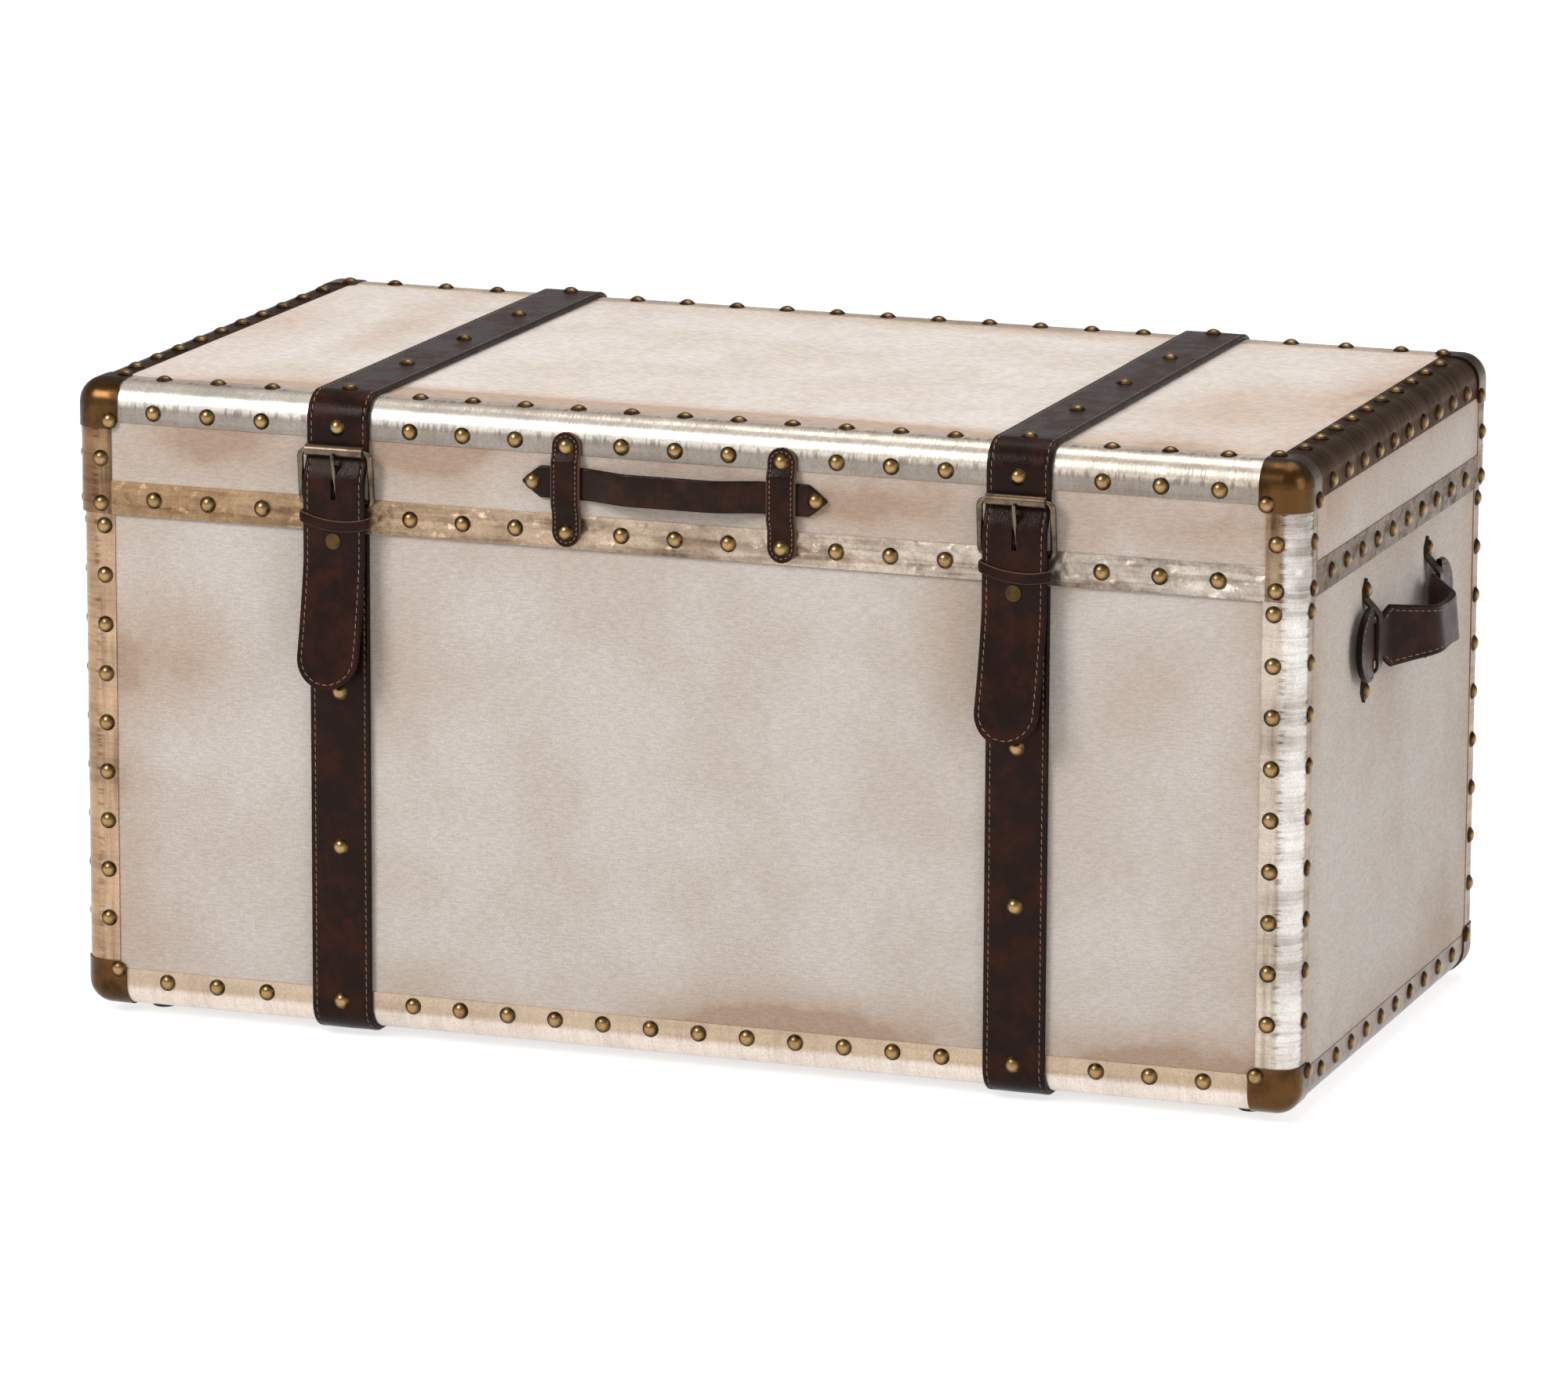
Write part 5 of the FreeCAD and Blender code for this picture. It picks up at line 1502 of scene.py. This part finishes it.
@dataclass
class Straps:
    """The two leather straps over the trunk, with their tails, keepers and buckle folds.

    Points of the lines of the body's strap, the lid's strap and the fold are (y, z), and those of
    the keeper's line are (x, y), in millimetres.
    """

    sizes: Sizes = SIZES
    body_width: float = 40.0
    lid_width: float = 41.0
    fold_width: float = 38.0
    thickness: float = 3.0
    fold_thickness: float = 1.8
    inset: float = 3.3
    seam_start: float = 2.5
    seam_end: float = 3.0
    tail_lean: float = -3.5
    slot_heights: Point = (366.2, 346.0)
    slot_half: float = 1.5
    bend_heights: Point = (328.6, 320.6)
    bend_steps: int = 8
    probe_step: float = 0.1
    probe_steps: int = 1600
    tail_front: float = -216.9
    keeper_height: float = 331.8
    keeper_width: float = 7.0
    keeper_tilts: Point = (4.0, 5.0)
    keeper_droop: float = 3.6
    fold_cut: float = 7.4
    fold_cut_half: float = 3.5
    body_line: BentLine = BentLine(((-208.15, 323.5), (-208.15, 5.35), (-160.5, 5.35)), (16.65,))
    lid_line: BentLine = BentLine(
        (
            (209.65, 337.4),
            (209.65, 409.65),
            (-209.65, 409.65),
            (-209.65, 371.9),
            (-216.9, 358.9),
            (-216.9, 307.0),
            (-225.5, 227.0),
        ),
        (16.65, 16.65, 25.0, 25.0, 60.0),
    )
    keeper_line: BentLine = BentLine(
        ((0.1, -212.3), (21.7, -212.3), (21.7, -219.5), (-21.7, -219.5), (-21.7, -212.3), (-0.1, -212.3)),
        (2.2, 2.2, 2.2, 2.2),
    )
    fold_line: BentLine = BentLine(
        ((-208.9, 328.0), (-208.9, 344.1), (-214.3, 344.1), (-214.3, 328.0)), (2.65, 2.65)
    )

    def body_strap(self, side: str, offset: float) -> None:
        """Makes the strap that runs down the front and under the bottom.

        Args:
            side: The strap's side.
            offset: Its distance from the trunk's middle.
        """
        strip = Strip(
            "body_" + side + "_strap",
            self.body_line,
            self.body_width,
            self.thickness,
            self.sizes.point(offset, 0, 0),
            Y_AXIS,
            Z_AXIS,
            face=-1.0,
            seed=offset,
        )
        leather = finish_piece(strip.build(), strip.name, STRAP_LEATHER)
        stand_in(leather, "body", "leather", "body_strap_" + side)
        thread = Stitching(strip.name + "_thread")
        edge = strip.width / 2 - self.inset
        ends = (self.seam_start, strip.total - self.seam_end)
        thread.sew(strip, [[(end, across) for end in ends] for across in (-edge, edge)])
        stand_in(thread.piece(), "body", "leather")

    def heights(self) -> Callable[[float], float]:
        """Measures the heights of the lid strap's last stretch, down the trunk's front.

        Returns:
            What finds the distance along the strap of a height.
        """
        total = self.lid_line.length()
        probe = [total - self.probe_step * step for step in range(self.probe_steps)]
        found = [(self.lid_line.at(distance)[0].y, distance) for distance in probe]

        def down_to(height: float) -> float:
            """Finds the distance along the strap of a height on the trunk's front."""
            return min(found, key=lambda pair: abs(pair[0] - height))[1]

        return down_to

    def lid_strap(self, side: str, offset: float) -> None:
        """Makes the strap that crosses the lid, takes the prong and hangs over the snap.

        Args:
            side: The strap's side.
            offset: Its distance from the trunk's middle.
        """
        s = self.sizes
        total, half = self.lid_line.length(), self.lid_width / 2
        down_to = self.heights()
        slot = [down_to(height) for height in self.slot_heights]
        top, foot = [down_to(height) for height in self.bend_heights]
        bend = [top + (foot - top) * step / self.bend_steps for step in range(self.bend_steps + 1)]
        strip = Strip(
            "lid_" + side + "_strap",
            self.lid_line,
            self.lid_width,
            self.thickness,
            s.point(offset, 0, 0),
            Y_AXIS,
            Z_AXIS,
            face=-1.0,
            share=round_ends(total, half),
            slot=(slot[0], slot[1], self.slot_half),
            extra=(*slot, *bend, *end_steps(total, half)),
            lean=self.tail_lean,
            lean_from=foot,
            seed=offset * 2,
            wobble=0.14,
        )
        thread = Stitching(strip.name + "_thread")
        thread.sew(strip, [seam_round_end(self.seam_start, total, half, self.inset)])
        leather = finish_piece(strip.build(), strip.name, STRAP_LEATHER)
        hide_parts("lid_strap_" + side, "strap_tail_" + side)
        start, end = [s.point(offset, self.tail_front, height) for height in self.bend_heights]
        for piece in (leather, thread.piece()):
            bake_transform(piece)

    def keeper(self, side: str, offset: float, tilt: float) -> BMesh:
        """Makes the leather loop that the strap's end passes through.

        Args:
            side: The strap's side.
            offset: Its distance from the trunk's middle.
            tilt: How far the loop slants, in degrees.

        Returns:
            The closed shape.
        """
        return Strip(
            "keeper_" + side,
            self.keeper_line,
            self.keeper_width,
            self.fold_thickness,
            self.sizes.point(offset, 0, self.keeper_height),
            X_AXIS,
            Y_AXIS,
            groove=0.0,
            crown=0.25,
            tip_shear=math.tan(math.radians(tilt)),
            droop=self.keeper_droop,
            seed=offset,
            wobble=0.08,
            step=3.0,
        ).build()

    def fold(self, offset: float) -> BMesh:
        """Makes the fold of leather round the buckle's heel bar.

        Args:
            offset: The strap's distance from the trunk's middle.

        Returns:
            The closed shape.
        """
        cut = (self.fold_cut, self.fold_line.length() - self.fold_cut)
        return Strip(
            "fold",
            self.fold_line,
            self.fold_width,
            self.fold_thickness,
            self.sizes.point(offset, 0, 0),
            Y_AXIS,
            Z_AXIS,
            face=-1.0,
            groove=0.0,
            crown=0.0,
            slot=(cut[0], cut[1], self.fold_cut_half),
            extra=cut,
            wobble=0.05,
            step=3.0,
        ).build()

    def build(self) -> None:
        """Makes every strap, tail, keeper and fold."""
        sides = self.sizes.straps()
        for side, offset in sides:
            self.body_strap(side, offset)
            self.lid_strap(side, offset)
        loops = [self.keeper(side, offset, tilt) for (side, offset), tilt in zip(sides, self.keeper_tilts)]
        keepers = finish_piece(join_shapes(loops), "strap_end_keepers", TAN_EDGED_LEATHER)
        stand_in(keepers, "lid", "leather", "strap_keepers")
        folds = join_shapes([self.fold(offset) for _, offset in sides])
        stand_in(finish_piece(folds, "buckle_folds", STRAP_LEATHER), "lid", "leather", "buckle_chapes")


@dataclass
class BuckleFrames:
    """The bent wire frames of the roller buckles."""

    sizes: Sizes = SIZES
    half_width: float = 23.2
    reach: float = 35.0
    corner: float = 5.0
    bar: float = 1.5
    side: float = 2.05
    thin_half: float = 20.6
    thickening: float = 2.0
    heel: Point = (-211.6, 341.4)
    tilt: float = 5.904
    rounds: int = 14
    step: float = 4.0
    turn: float = 12.0

    def thickness(self, across: float) -> float:
        """Returns the wire's radius: thin in the roller and the fold, thick at the sides."""
        part = min(1.0, max(0.0, (abs(across) - self.thin_half) / self.thickening))
        return self.bar + (self.side - self.bar) * part

    def frame(self, name: str, offset: float) -> bpy.types.Object:
        """Bends one frame.

        Args:
            name: The piece's name.
            offset: Where the strap's middle is, in millimetres.

        Returns:
            The piece.
        """
        half, top = self.half_width, self.reach
        corners = ((0.0, 0.0), (half, 0.0), (half, top), (-half, top), (-half, 0.0), (0.0, 0.0))
        line = BentLine(corners, (self.corner,) * 4)
        stations = line.stations(self.step, self.turn)[:-1]
        lean = math.radians(self.tilt)
        rise = Vector((0.0, -math.sin(lean), math.cos(lean)))
        out = Vector((0.0, -math.cos(lean), -math.sin(lean)))
        mesh = bmesh.new()
        rows, columns = len(stations), self.rounds
        bmesh.ops.create_grid(mesh, x_segments=rows, y_segments=columns, size=0.5)
        for vertex in mesh.verts:
            distance = stations[round((vertex.co.x + 0.5) * rows) % rows]
            angle = math.tau * round((vertex.co.y + 0.5) * columns) / columns
            spot, way = line.at(distance)
            radius = self.thickness(spot.x)
            flat = spot + Vector((-way.y, way.x)) * radius * math.cos(angle)
            point = X_AXIS * flat.x + rise * flat.y + out * radius * math.sin(angle)
            vertex.co = self.sizes.point(offset, *self.heel) + point * MM
        bmesh.ops.remove_doubles(mesh, verts=mesh.verts[:], dist=MERGE)
        return finish_piece(mesh, name, BUCKLE_BRONZE, sharp=70.0)

    def build(self) -> None:
        """Makes both frames."""
        for side, offset in self.sizes.straps():
            body = "buckle_frame_" + side
            stand_in(self.frame("buckle_wire_" + side, offset), body, "buckle", body)


@dataclass
class LidHandle:
    """The leather handle on the lid's front and the two plates that hold it.

    Points of the handle's line are (x, forwards), and those of a plate's line are (upwards,
    forwards), in millimetres.
    """

    sizes: Sizes = SIZES
    height: float = 20.0
    thickness: float = 3.0
    tip: float = 98.5
    tip_share: float = 0.08
    tip_power: float = 1.15
    tip_steps: int = 13
    shoulder: float = 87.0
    level: float = 365.4
    front: float = -208.0
    plate_offset: float = 70.0
    plate_half: float = 9.5
    plate_inset: float = 2.6
    line: BentLine = BentLine(
        ((-98.5, 0.85), (-56.0, 0.85), (-30.0, 10.85), (30.0, 10.85), (56.0, 0.85), (98.5, 0.85)), (30.0,) * 4
    )
    plate_line: BentLine = BentLine(
        ((-39.5, 1.65), (-19.2, 1.65), (-13.2, 4.05), (13.2, 4.05), (19.2, 1.65), (32.0, 1.65)), (4.0,) * 4
    )

    def share(self, distance: float) -> float:
        """Returns the share of the pointed handle's height at a distance."""
        into = (abs(self.line.at(distance)[0].x) - self.shoulder) / (self.tip - self.shoulder)
        return max(self.tip_share, 1.0 - (1.0 - self.tip_share) * max(0.0, into) ** self.tip_power)

    def plate(self, place: float, thread: Stitching) -> BMesh:
        """Makes a plate and sews it.

        Args:
            place: Its distance from the trunk's middle.
            thread: The stitching that its stitches go to.

        Returns:
            The closed shape.
        """
        total, half = self.plate_line.length(), self.plate_half
        strip = Strip(
            "handle_plate",
            self.plate_line,
            2 * half,
            self.thickness,
            self.sizes.point(place, self.front, self.level),
            Z_AXIS,
            -Y_AXIS,
            share=round_ends(total, half, both=True),
            extra=end_steps(total, half, both=True),
            groove=self.plate_inset,
            seed=place,
            step=3.0,
        )
        low = seam_round_end(total / 2, total, half, self.plate_inset)
        thread.sew(strip, [low, [(total - distance, -across) for distance, across in low]])
        return strip.build()

    def build(self) -> None:
        """Makes the handle, its plates and their stitches."""
        total = self.line.length()
        strip = Strip(
            "lid_front_handle",
            self.line,
            self.height,
            self.thickness,
            self.sizes.point(0, self.front, self.level),
            X_AXIS,
            -Y_AXIS,
            share=self.share,
            extra=tuple(value for step in range(self.tip_steps) for value in (step, total - step)),
            groove=0.0,
            seed=4.0,
            step=5.0,
        )
        stand_in(finish_piece(strip.build(), strip.name, HANDLE_LEATHER), "lid", "leather", "front_handle")
        thread = Stitching("handle_plates_thread", pitch=3.2, length=2.5, gauge=0.7)
        shapes = [self.plate(place, thread) for place in (-self.plate_offset, self.plate_offset)]
        plates = finish_piece(join_shapes(shapes), "front_handle_plates", TAN_EDGED_LEATHER)
        stand_in(plates, "lid", "leather", "front_handle_retainers")
        stand_in(thread.piece(), "lid", "leather")


@dataclass
class EndHandles:
    """The bowed leather handles on the ends, with half-moon stops.

    Points of their line are (y, outwards), in millimetres from the handle's middle.
    """

    sizes: Sizes = SIZES
    thickness: float = 4.0
    level: float = 275.0
    seat: float = 398.5
    moon_inner: float = 77.0
    moon_outer: float = 104.0
    moon_half: float = 23.5
    neck_half: float = 12.0
    neck_end: float = 58.0
    shoulder: float = 50.0
    shoulder_half: float = 19.5
    middle_half: float = 13.5
    swell: float = 1.6
    inset: float = 3.4
    sag: float = 0.13
    notch: float = 0.06
    turns: Point = (54.0, 46.0)
    seam_reach: int = 55
    seam_step: int = 5
    seam_corner: float = 1.0
    probe_steps: int = 4000
    line: BentLine = BentLine(
        ((-104.0, 6.1), (-55.0, 6.1), (-22.0, 33.1), (22.0, 33.1), (55.0, 6.1), (104.0, 6.1)), (22.0,) * 4
    )
    spots: list[Point] = field(init=False)

    def __post_init__(self) -> None:
        """Measures the line in small steps."""
        count = self.probe_steps
        probe = [index * self.line.length() / count for index in range(count + 1)]
        self.spots = [(self.line.at(distance)[0].x, distance) for distance in probe]

    def along(self, place: float) -> float:
        """Finds the distance along the line of a place."""
        return min(self.spots, key=lambda pair: abs(pair[0] - place))[1]

    def circle(self) -> Point:
        """Works out the half-moon's circle.

        Returns:
            Its centre and radius.
        """
        across, half = self.moon_outer - self.moon_inner, self.moon_half
        radius = (across**2 + half**2) / (2 * across)
        return self.moon_outer - radius, radius

    def half_height(self, place: float) -> float:
        """Works out the outline.

        Args:
            place: The distance from the handle's middle.

        Returns:
            Half the height there.
        """
        place = abs(place)
        centre, radius = self.circle()
        if place >= self.moon_inner:
            return min(self.moon_half, math.sqrt(max(0.3, radius**2 - max(0.0, place - centre) ** 2)))
        if place >= self.neck_end:
            return self.neck_half
        if place >= self.shoulder:
            part = (place - self.shoulder) / (self.neck_end - self.shoulder)
            return self.shoulder_half + (self.neck_half - self.shoulder_half) * part
        part = place / self.shoulder
        return self.middle_half + (self.shoulder_half - self.middle_half) * part**self.swell

    def share(self, distance: float) -> float:
        """Returns the share of the greatest height at a distance along the line."""
        return self.half_height(self.line.at(distance)[0].x) / self.moon_half

    def marks(self) -> tuple[float, ...]:
        """Chooses the distances along the line where the outline turns.

        Returns:
            The distances.
        """
        centre, radius = self.circle()
        places = [self.moon_inner, self.moon_inner - self.notch, self.neck_end, self.shoulder, *self.turns]
        moon = [centre + radius * math.sin(math.radians(angle)) for angle in range(0, 91, 8)]
        places += [place for place in moon if place > self.moon_inner]
        return tuple(self.along(turn * place) for place in places for turn in (1.0, -1.0))

    def seams(self) -> list[list[Point]]:
        """Draws the stitch lines round the grip and the half-moons.

        Returns:
            Lines of (distance, across) points.
        """
        centre, radius = self.circle()
        radius -= self.inset
        reach = math.asin((self.moon_half - self.inset) / radius)
        corner = self.moon_half - self.inset - self.seam_corner
        places = range(-self.seam_reach, self.seam_reach + 1, self.seam_step)
        runs = []
        for turn in (-1.0, 1.0):
            grip = [(place, turn * (self.half_height(place) - self.inset)) for place in places]
            runs.append([(self.along(place), across) for place, across in grip])
            angles = [step * reach / 8 for step in range(-8, 9)]
            arc = [(turn * (centre + radius * math.cos(angle)), radius * math.sin(angle)) for angle in angles]
            runs.append([(self.along(place), across) for place, across in arc])
            inner = self.along(turn * (self.moon_inner + self.inset))
            runs.append([(inner, -corner), (inner, -self.neck_half)])
            runs.append([(inner, self.neck_half), (inner, corner)])
        return runs

    def build(self) -> None:
        """Makes both handles and their stitches."""
        for side, direction in (("left", -1.0), ("right", 1.0)):
            strip = Strip(
                "end_handle_" + side,
                self.line,
                2 * self.moon_half,
                self.thickness,
                self.sizes.point(direction * self.seat, 0, self.level),
                Y_AXIS,
                X_AXIS * direction,
                share=self.share,
                extra=self.marks(),
                groove=self.inset,
                slope=self.sag * direction,
                seed=7.0 + direction,
                step=3.5,
            )
            body = "side_handle_" + side
            stand_in(finish_piece(strip.build(), strip.name, HANDLE_LEATHER), body, "leather", body)
            thread = Stitching(strip.name + "_thread")
            thread.sew(strip, self.seams())
            stand_in(thread.piece(), body, "leather")


@dataclass
class Hardware:
    """Finishes for the solids that keep their own shape."""

    boards: Finish = PLYWOOD
    metal: Finish = HINGE_METAL

    def plan(self) -> dict[str, Finish]:
        """Chooses which finish each kept node wears.

        Returns:
            Finishes by the nodes' names.
        """
        halves = ("body", "lid")
        walls = ("front", "back", "left", "right")
        wear = {half + "_" + wall + "_board": self.boards for half in halves for wall in walls}
        wear |= {"body_bottom_board": self.boards, "lid_top_board": self.boards}
        wear |= {"bottom_long_trims": BOTTOM_EDGING, "top_long_trims": TOP_EDGING}
        wear |= {"bottom_end_trims": GREY_EDGING, "top_end_trims": DARK_EDGING}
        wear |= {"body_corner_trims": UPRIGHT_EDGING, "lid_corner_trims": LID_UPRIGHT_EDGING}
        wear |= {"lid_band": BAND_EDGING, "bottom_corner_caps": CAP_BRONZE, "top_corner_caps": CAP_BRONZE}
        wear |= {"feet": PLASTIC, "snap_studs": SNAP_BRASS}
        for side in ("left", "right"):
            wear |= {"handle_loops_" + side: LOOP_BRONZE, "snap_cap_" + side: SNAP_BRASS}
            wear |= {"buckle_roller_" + side: ROLLER_BRONZE, "buckle_prong_" + side: BUCKLE_BRONZE}
        hinged = ("hinge_body_leaves", "hinge_lid_leaves", "hinge_pins", "body_screws", "lid_screws")
        stays = ("stay_body_brackets", "stay_lid_brackets", "stay_lower_arms", "stay_upper_arms")
        return wear | dict.fromkeys(hinged + stays, self.metal)

    def dress(self, frame: dict) -> None:
        """Gives every kept node its finish.
        """
        for name, finish in self.plan().items():
            node = frame["nodes"][name]
            material = finish.material()
            if not node.material_slots:
                node.data.materials.append(material)
            for slot in node.material_slots:
                slot.material = material
            log.info("%s: %s", name, material.name)


@dataclass
class Studio:
    """Floor, soft light and the camera at the photograph's angle.

    A lamp is its name, its place in metres, the length of its side and its power in watts.
    """

    azimuth: float = 19.61
    elevation: float = 12.43
    roll: float = 0.274
    lens: float = 197.5
    sensor: float = 36.0
    distance: float = 5.4656
    aim: Triple = MIDDLE
    drift: Point = (-0.0027, -0.0128)
    floor_size: float = 14.0
    floor_white: float = 0.74
    floor_shade: Colour = (0.6, 0.6, 0.6, 1.0)
    sky: float = 0.42
    horizon: Point = (0.03, 0.32)
    overhead: float = 0.6
    behind: tuple[float, float, float, float] = (0.3, 0.85, 1.0, 0.62)
    lamp_aim: Triple = (0.0, 0.0, 0.2)
    lamps: tuple[tuple[str, Triple, float, float], ...] = (
        ("key_light", (-2.1, -2.9, 2.7), 1.6, 88.0),
        ("fill_light", (3.4, -1.4, 1.5), 1.8, 34.0),
        ("top_light", (0.3, 0.4, 3.0), 2.0, 36.0),
    )

    def floor(self) -> None:
        """Lays a plain pale floor that is white to the camera and keeps a soft shadow."""
        mesh = bmesh.new()
        bmesh.ops.create_grid(mesh, x_segments=1, y_segments=1, size=self.floor_size / 2)
        data = bpy.data.meshes.new("floor")
        mesh.to_mesh(data)
        mesh.free()
        floor = bpy.data.objects.new("floor", data)
        bpy.context.scene.collection.objects.link(floor)
        material = bpy.data.materials.new("floor_white")
        material.use_nodes = True
        desk = Desk(material.node_tree)
        path = desk.add("ShaderNodeLightPath").outputs
        seen = desk.math("MAXIMUM", path["Is Camera Ray"], path["Is Glossy Ray"])
        seen = desk.math("MAXIMUM", seen, path["Is Transmission Ray"])
        matt = desk.add("ShaderNodeBsdfDiffuse", {"Color": self.floor_shade})
        strength = desk.times(seen, self.floor_white)
        glow = desk.add("ShaderNodeEmission", {"Color": WHITE, "Strength": strength})
        both = desk.add("ShaderNodeAddShader", {0: matt.outputs[0], 1: glow.outputs[0]})
        desk.add("ShaderNodeOutputMaterial", {"Surface": both.outputs[0]})
        data.materials.append(material)

    def world(self) -> None:
        """Makes the surroundings: white behind the trunk and a dimmer sky for its light."""
        world = bpy.data.worlds.new("studio_world")
        bpy.context.scene.world = world
        world.use_nodes = True
        desk = Desk(world.node_tree)
        path = desk.add("ShaderNodeLightPath").outputs
        _, back, height = desk.split(desk.add("ShaderNodeTexCoord").outputs["Generated"])
        glossy = desk.scaled(desk.span(height, *self.horizon), -self.overhead, 1.0)
        glossy = desk.times(glossy, desk.span(back, *self.behind))
        seen = desk.math("MAXIMUM", path["Is Camera Ray"], path["Is Transmission Ray"])
        strength = desk.scaled(path["Is Glossy Ray"], desk.math("SUBTRACT", glossy, self.sky), self.sky)
        strength = desk.math("MAXIMUM", strength, seen)
        sky = desk.add("ShaderNodeBackground", {"Color": WHITE, "Strength": strength})
        desk.add("ShaderNodeOutputWorld", {"Surface": sky.outputs[0]})

    def lamp(self, name: str, place: Triple, size: float, power: float) -> None:
        """Hangs a square soft light aimed at the trunk.

        Args:
            name: Its name.
            place: Where it hangs, in metres.
            size: The length of its side.
            power: Its power in watts.
        """
        light = bpy.data.lights.new(name, "AREA")
        light.shape = "SQUARE"
        light.size = size
        light.energy = power
        lamp = bpy.data.objects.new(name, light)
        bpy.context.scene.collection.objects.link(lamp)
        lamp.location = place
        lamp.rotation_euler = (Vector(self.lamp_aim) - Vector(place)).to_track_quat("-Z", "Y").to_euler()

    def camera(self) -> None:
        """Sets the camera at the photograph's angle."""
        turn, rise = math.radians(self.azimuth), math.radians(self.elevation)
        back = Vector((math.sin(turn) * math.cos(rise), -math.cos(turn) * math.cos(rise), math.sin(rise)))
        right = Vector((math.cos(turn), math.sin(turn), 0.0))
        up = back.cross(right)
        lean = math.radians(self.roll)
        side = right * math.cos(lean) + up * math.sin(lean)
        top = up * math.cos(lean) - right * math.sin(lean)
        target = Vector(self.aim) + side * self.drift[0] + top * self.drift[1]
        data = bpy.data.cameras.new("camera")
        data.sensor_fit = "HORIZONTAL"
        data.sensor_width = self.sensor
        data.lens = self.lens
        data.clip_end = 100.0
        camera = bpy.data.objects.new("camera", data)
        bpy.context.scene.collection.objects.link(camera)
        basis = Matrix((side, top, back)).transposed().to_4x4()
        camera.matrix_world = Matrix.Translation(target + back * self.distance) @ basis
        bpy.context.scene.camera = camera

    def build(self) -> None:
        """Sets up floor, world, lamps and camera."""
        bpy.context.scene.view_settings.view_transform = "Standard"
        self.floor()
        self.world()
        for name, place, size, power in self.lamps:
            self.lamp(name, place, size, power)
        self.camera()


def main() -> None:
    """Loads the frame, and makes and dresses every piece."""
    logging.basicConfig(level=logging.INFO, format="%(name)s: %(message)s")
    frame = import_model()
    Studio().build()
    Hardware().dress(frame)
    Cover().build()
    Nails().build(frame)
    Straps().build()
    BuckleFrames().build()
    LidHandle().build()
    EndHandles().build()


if __name__ == "__main__":
    main()
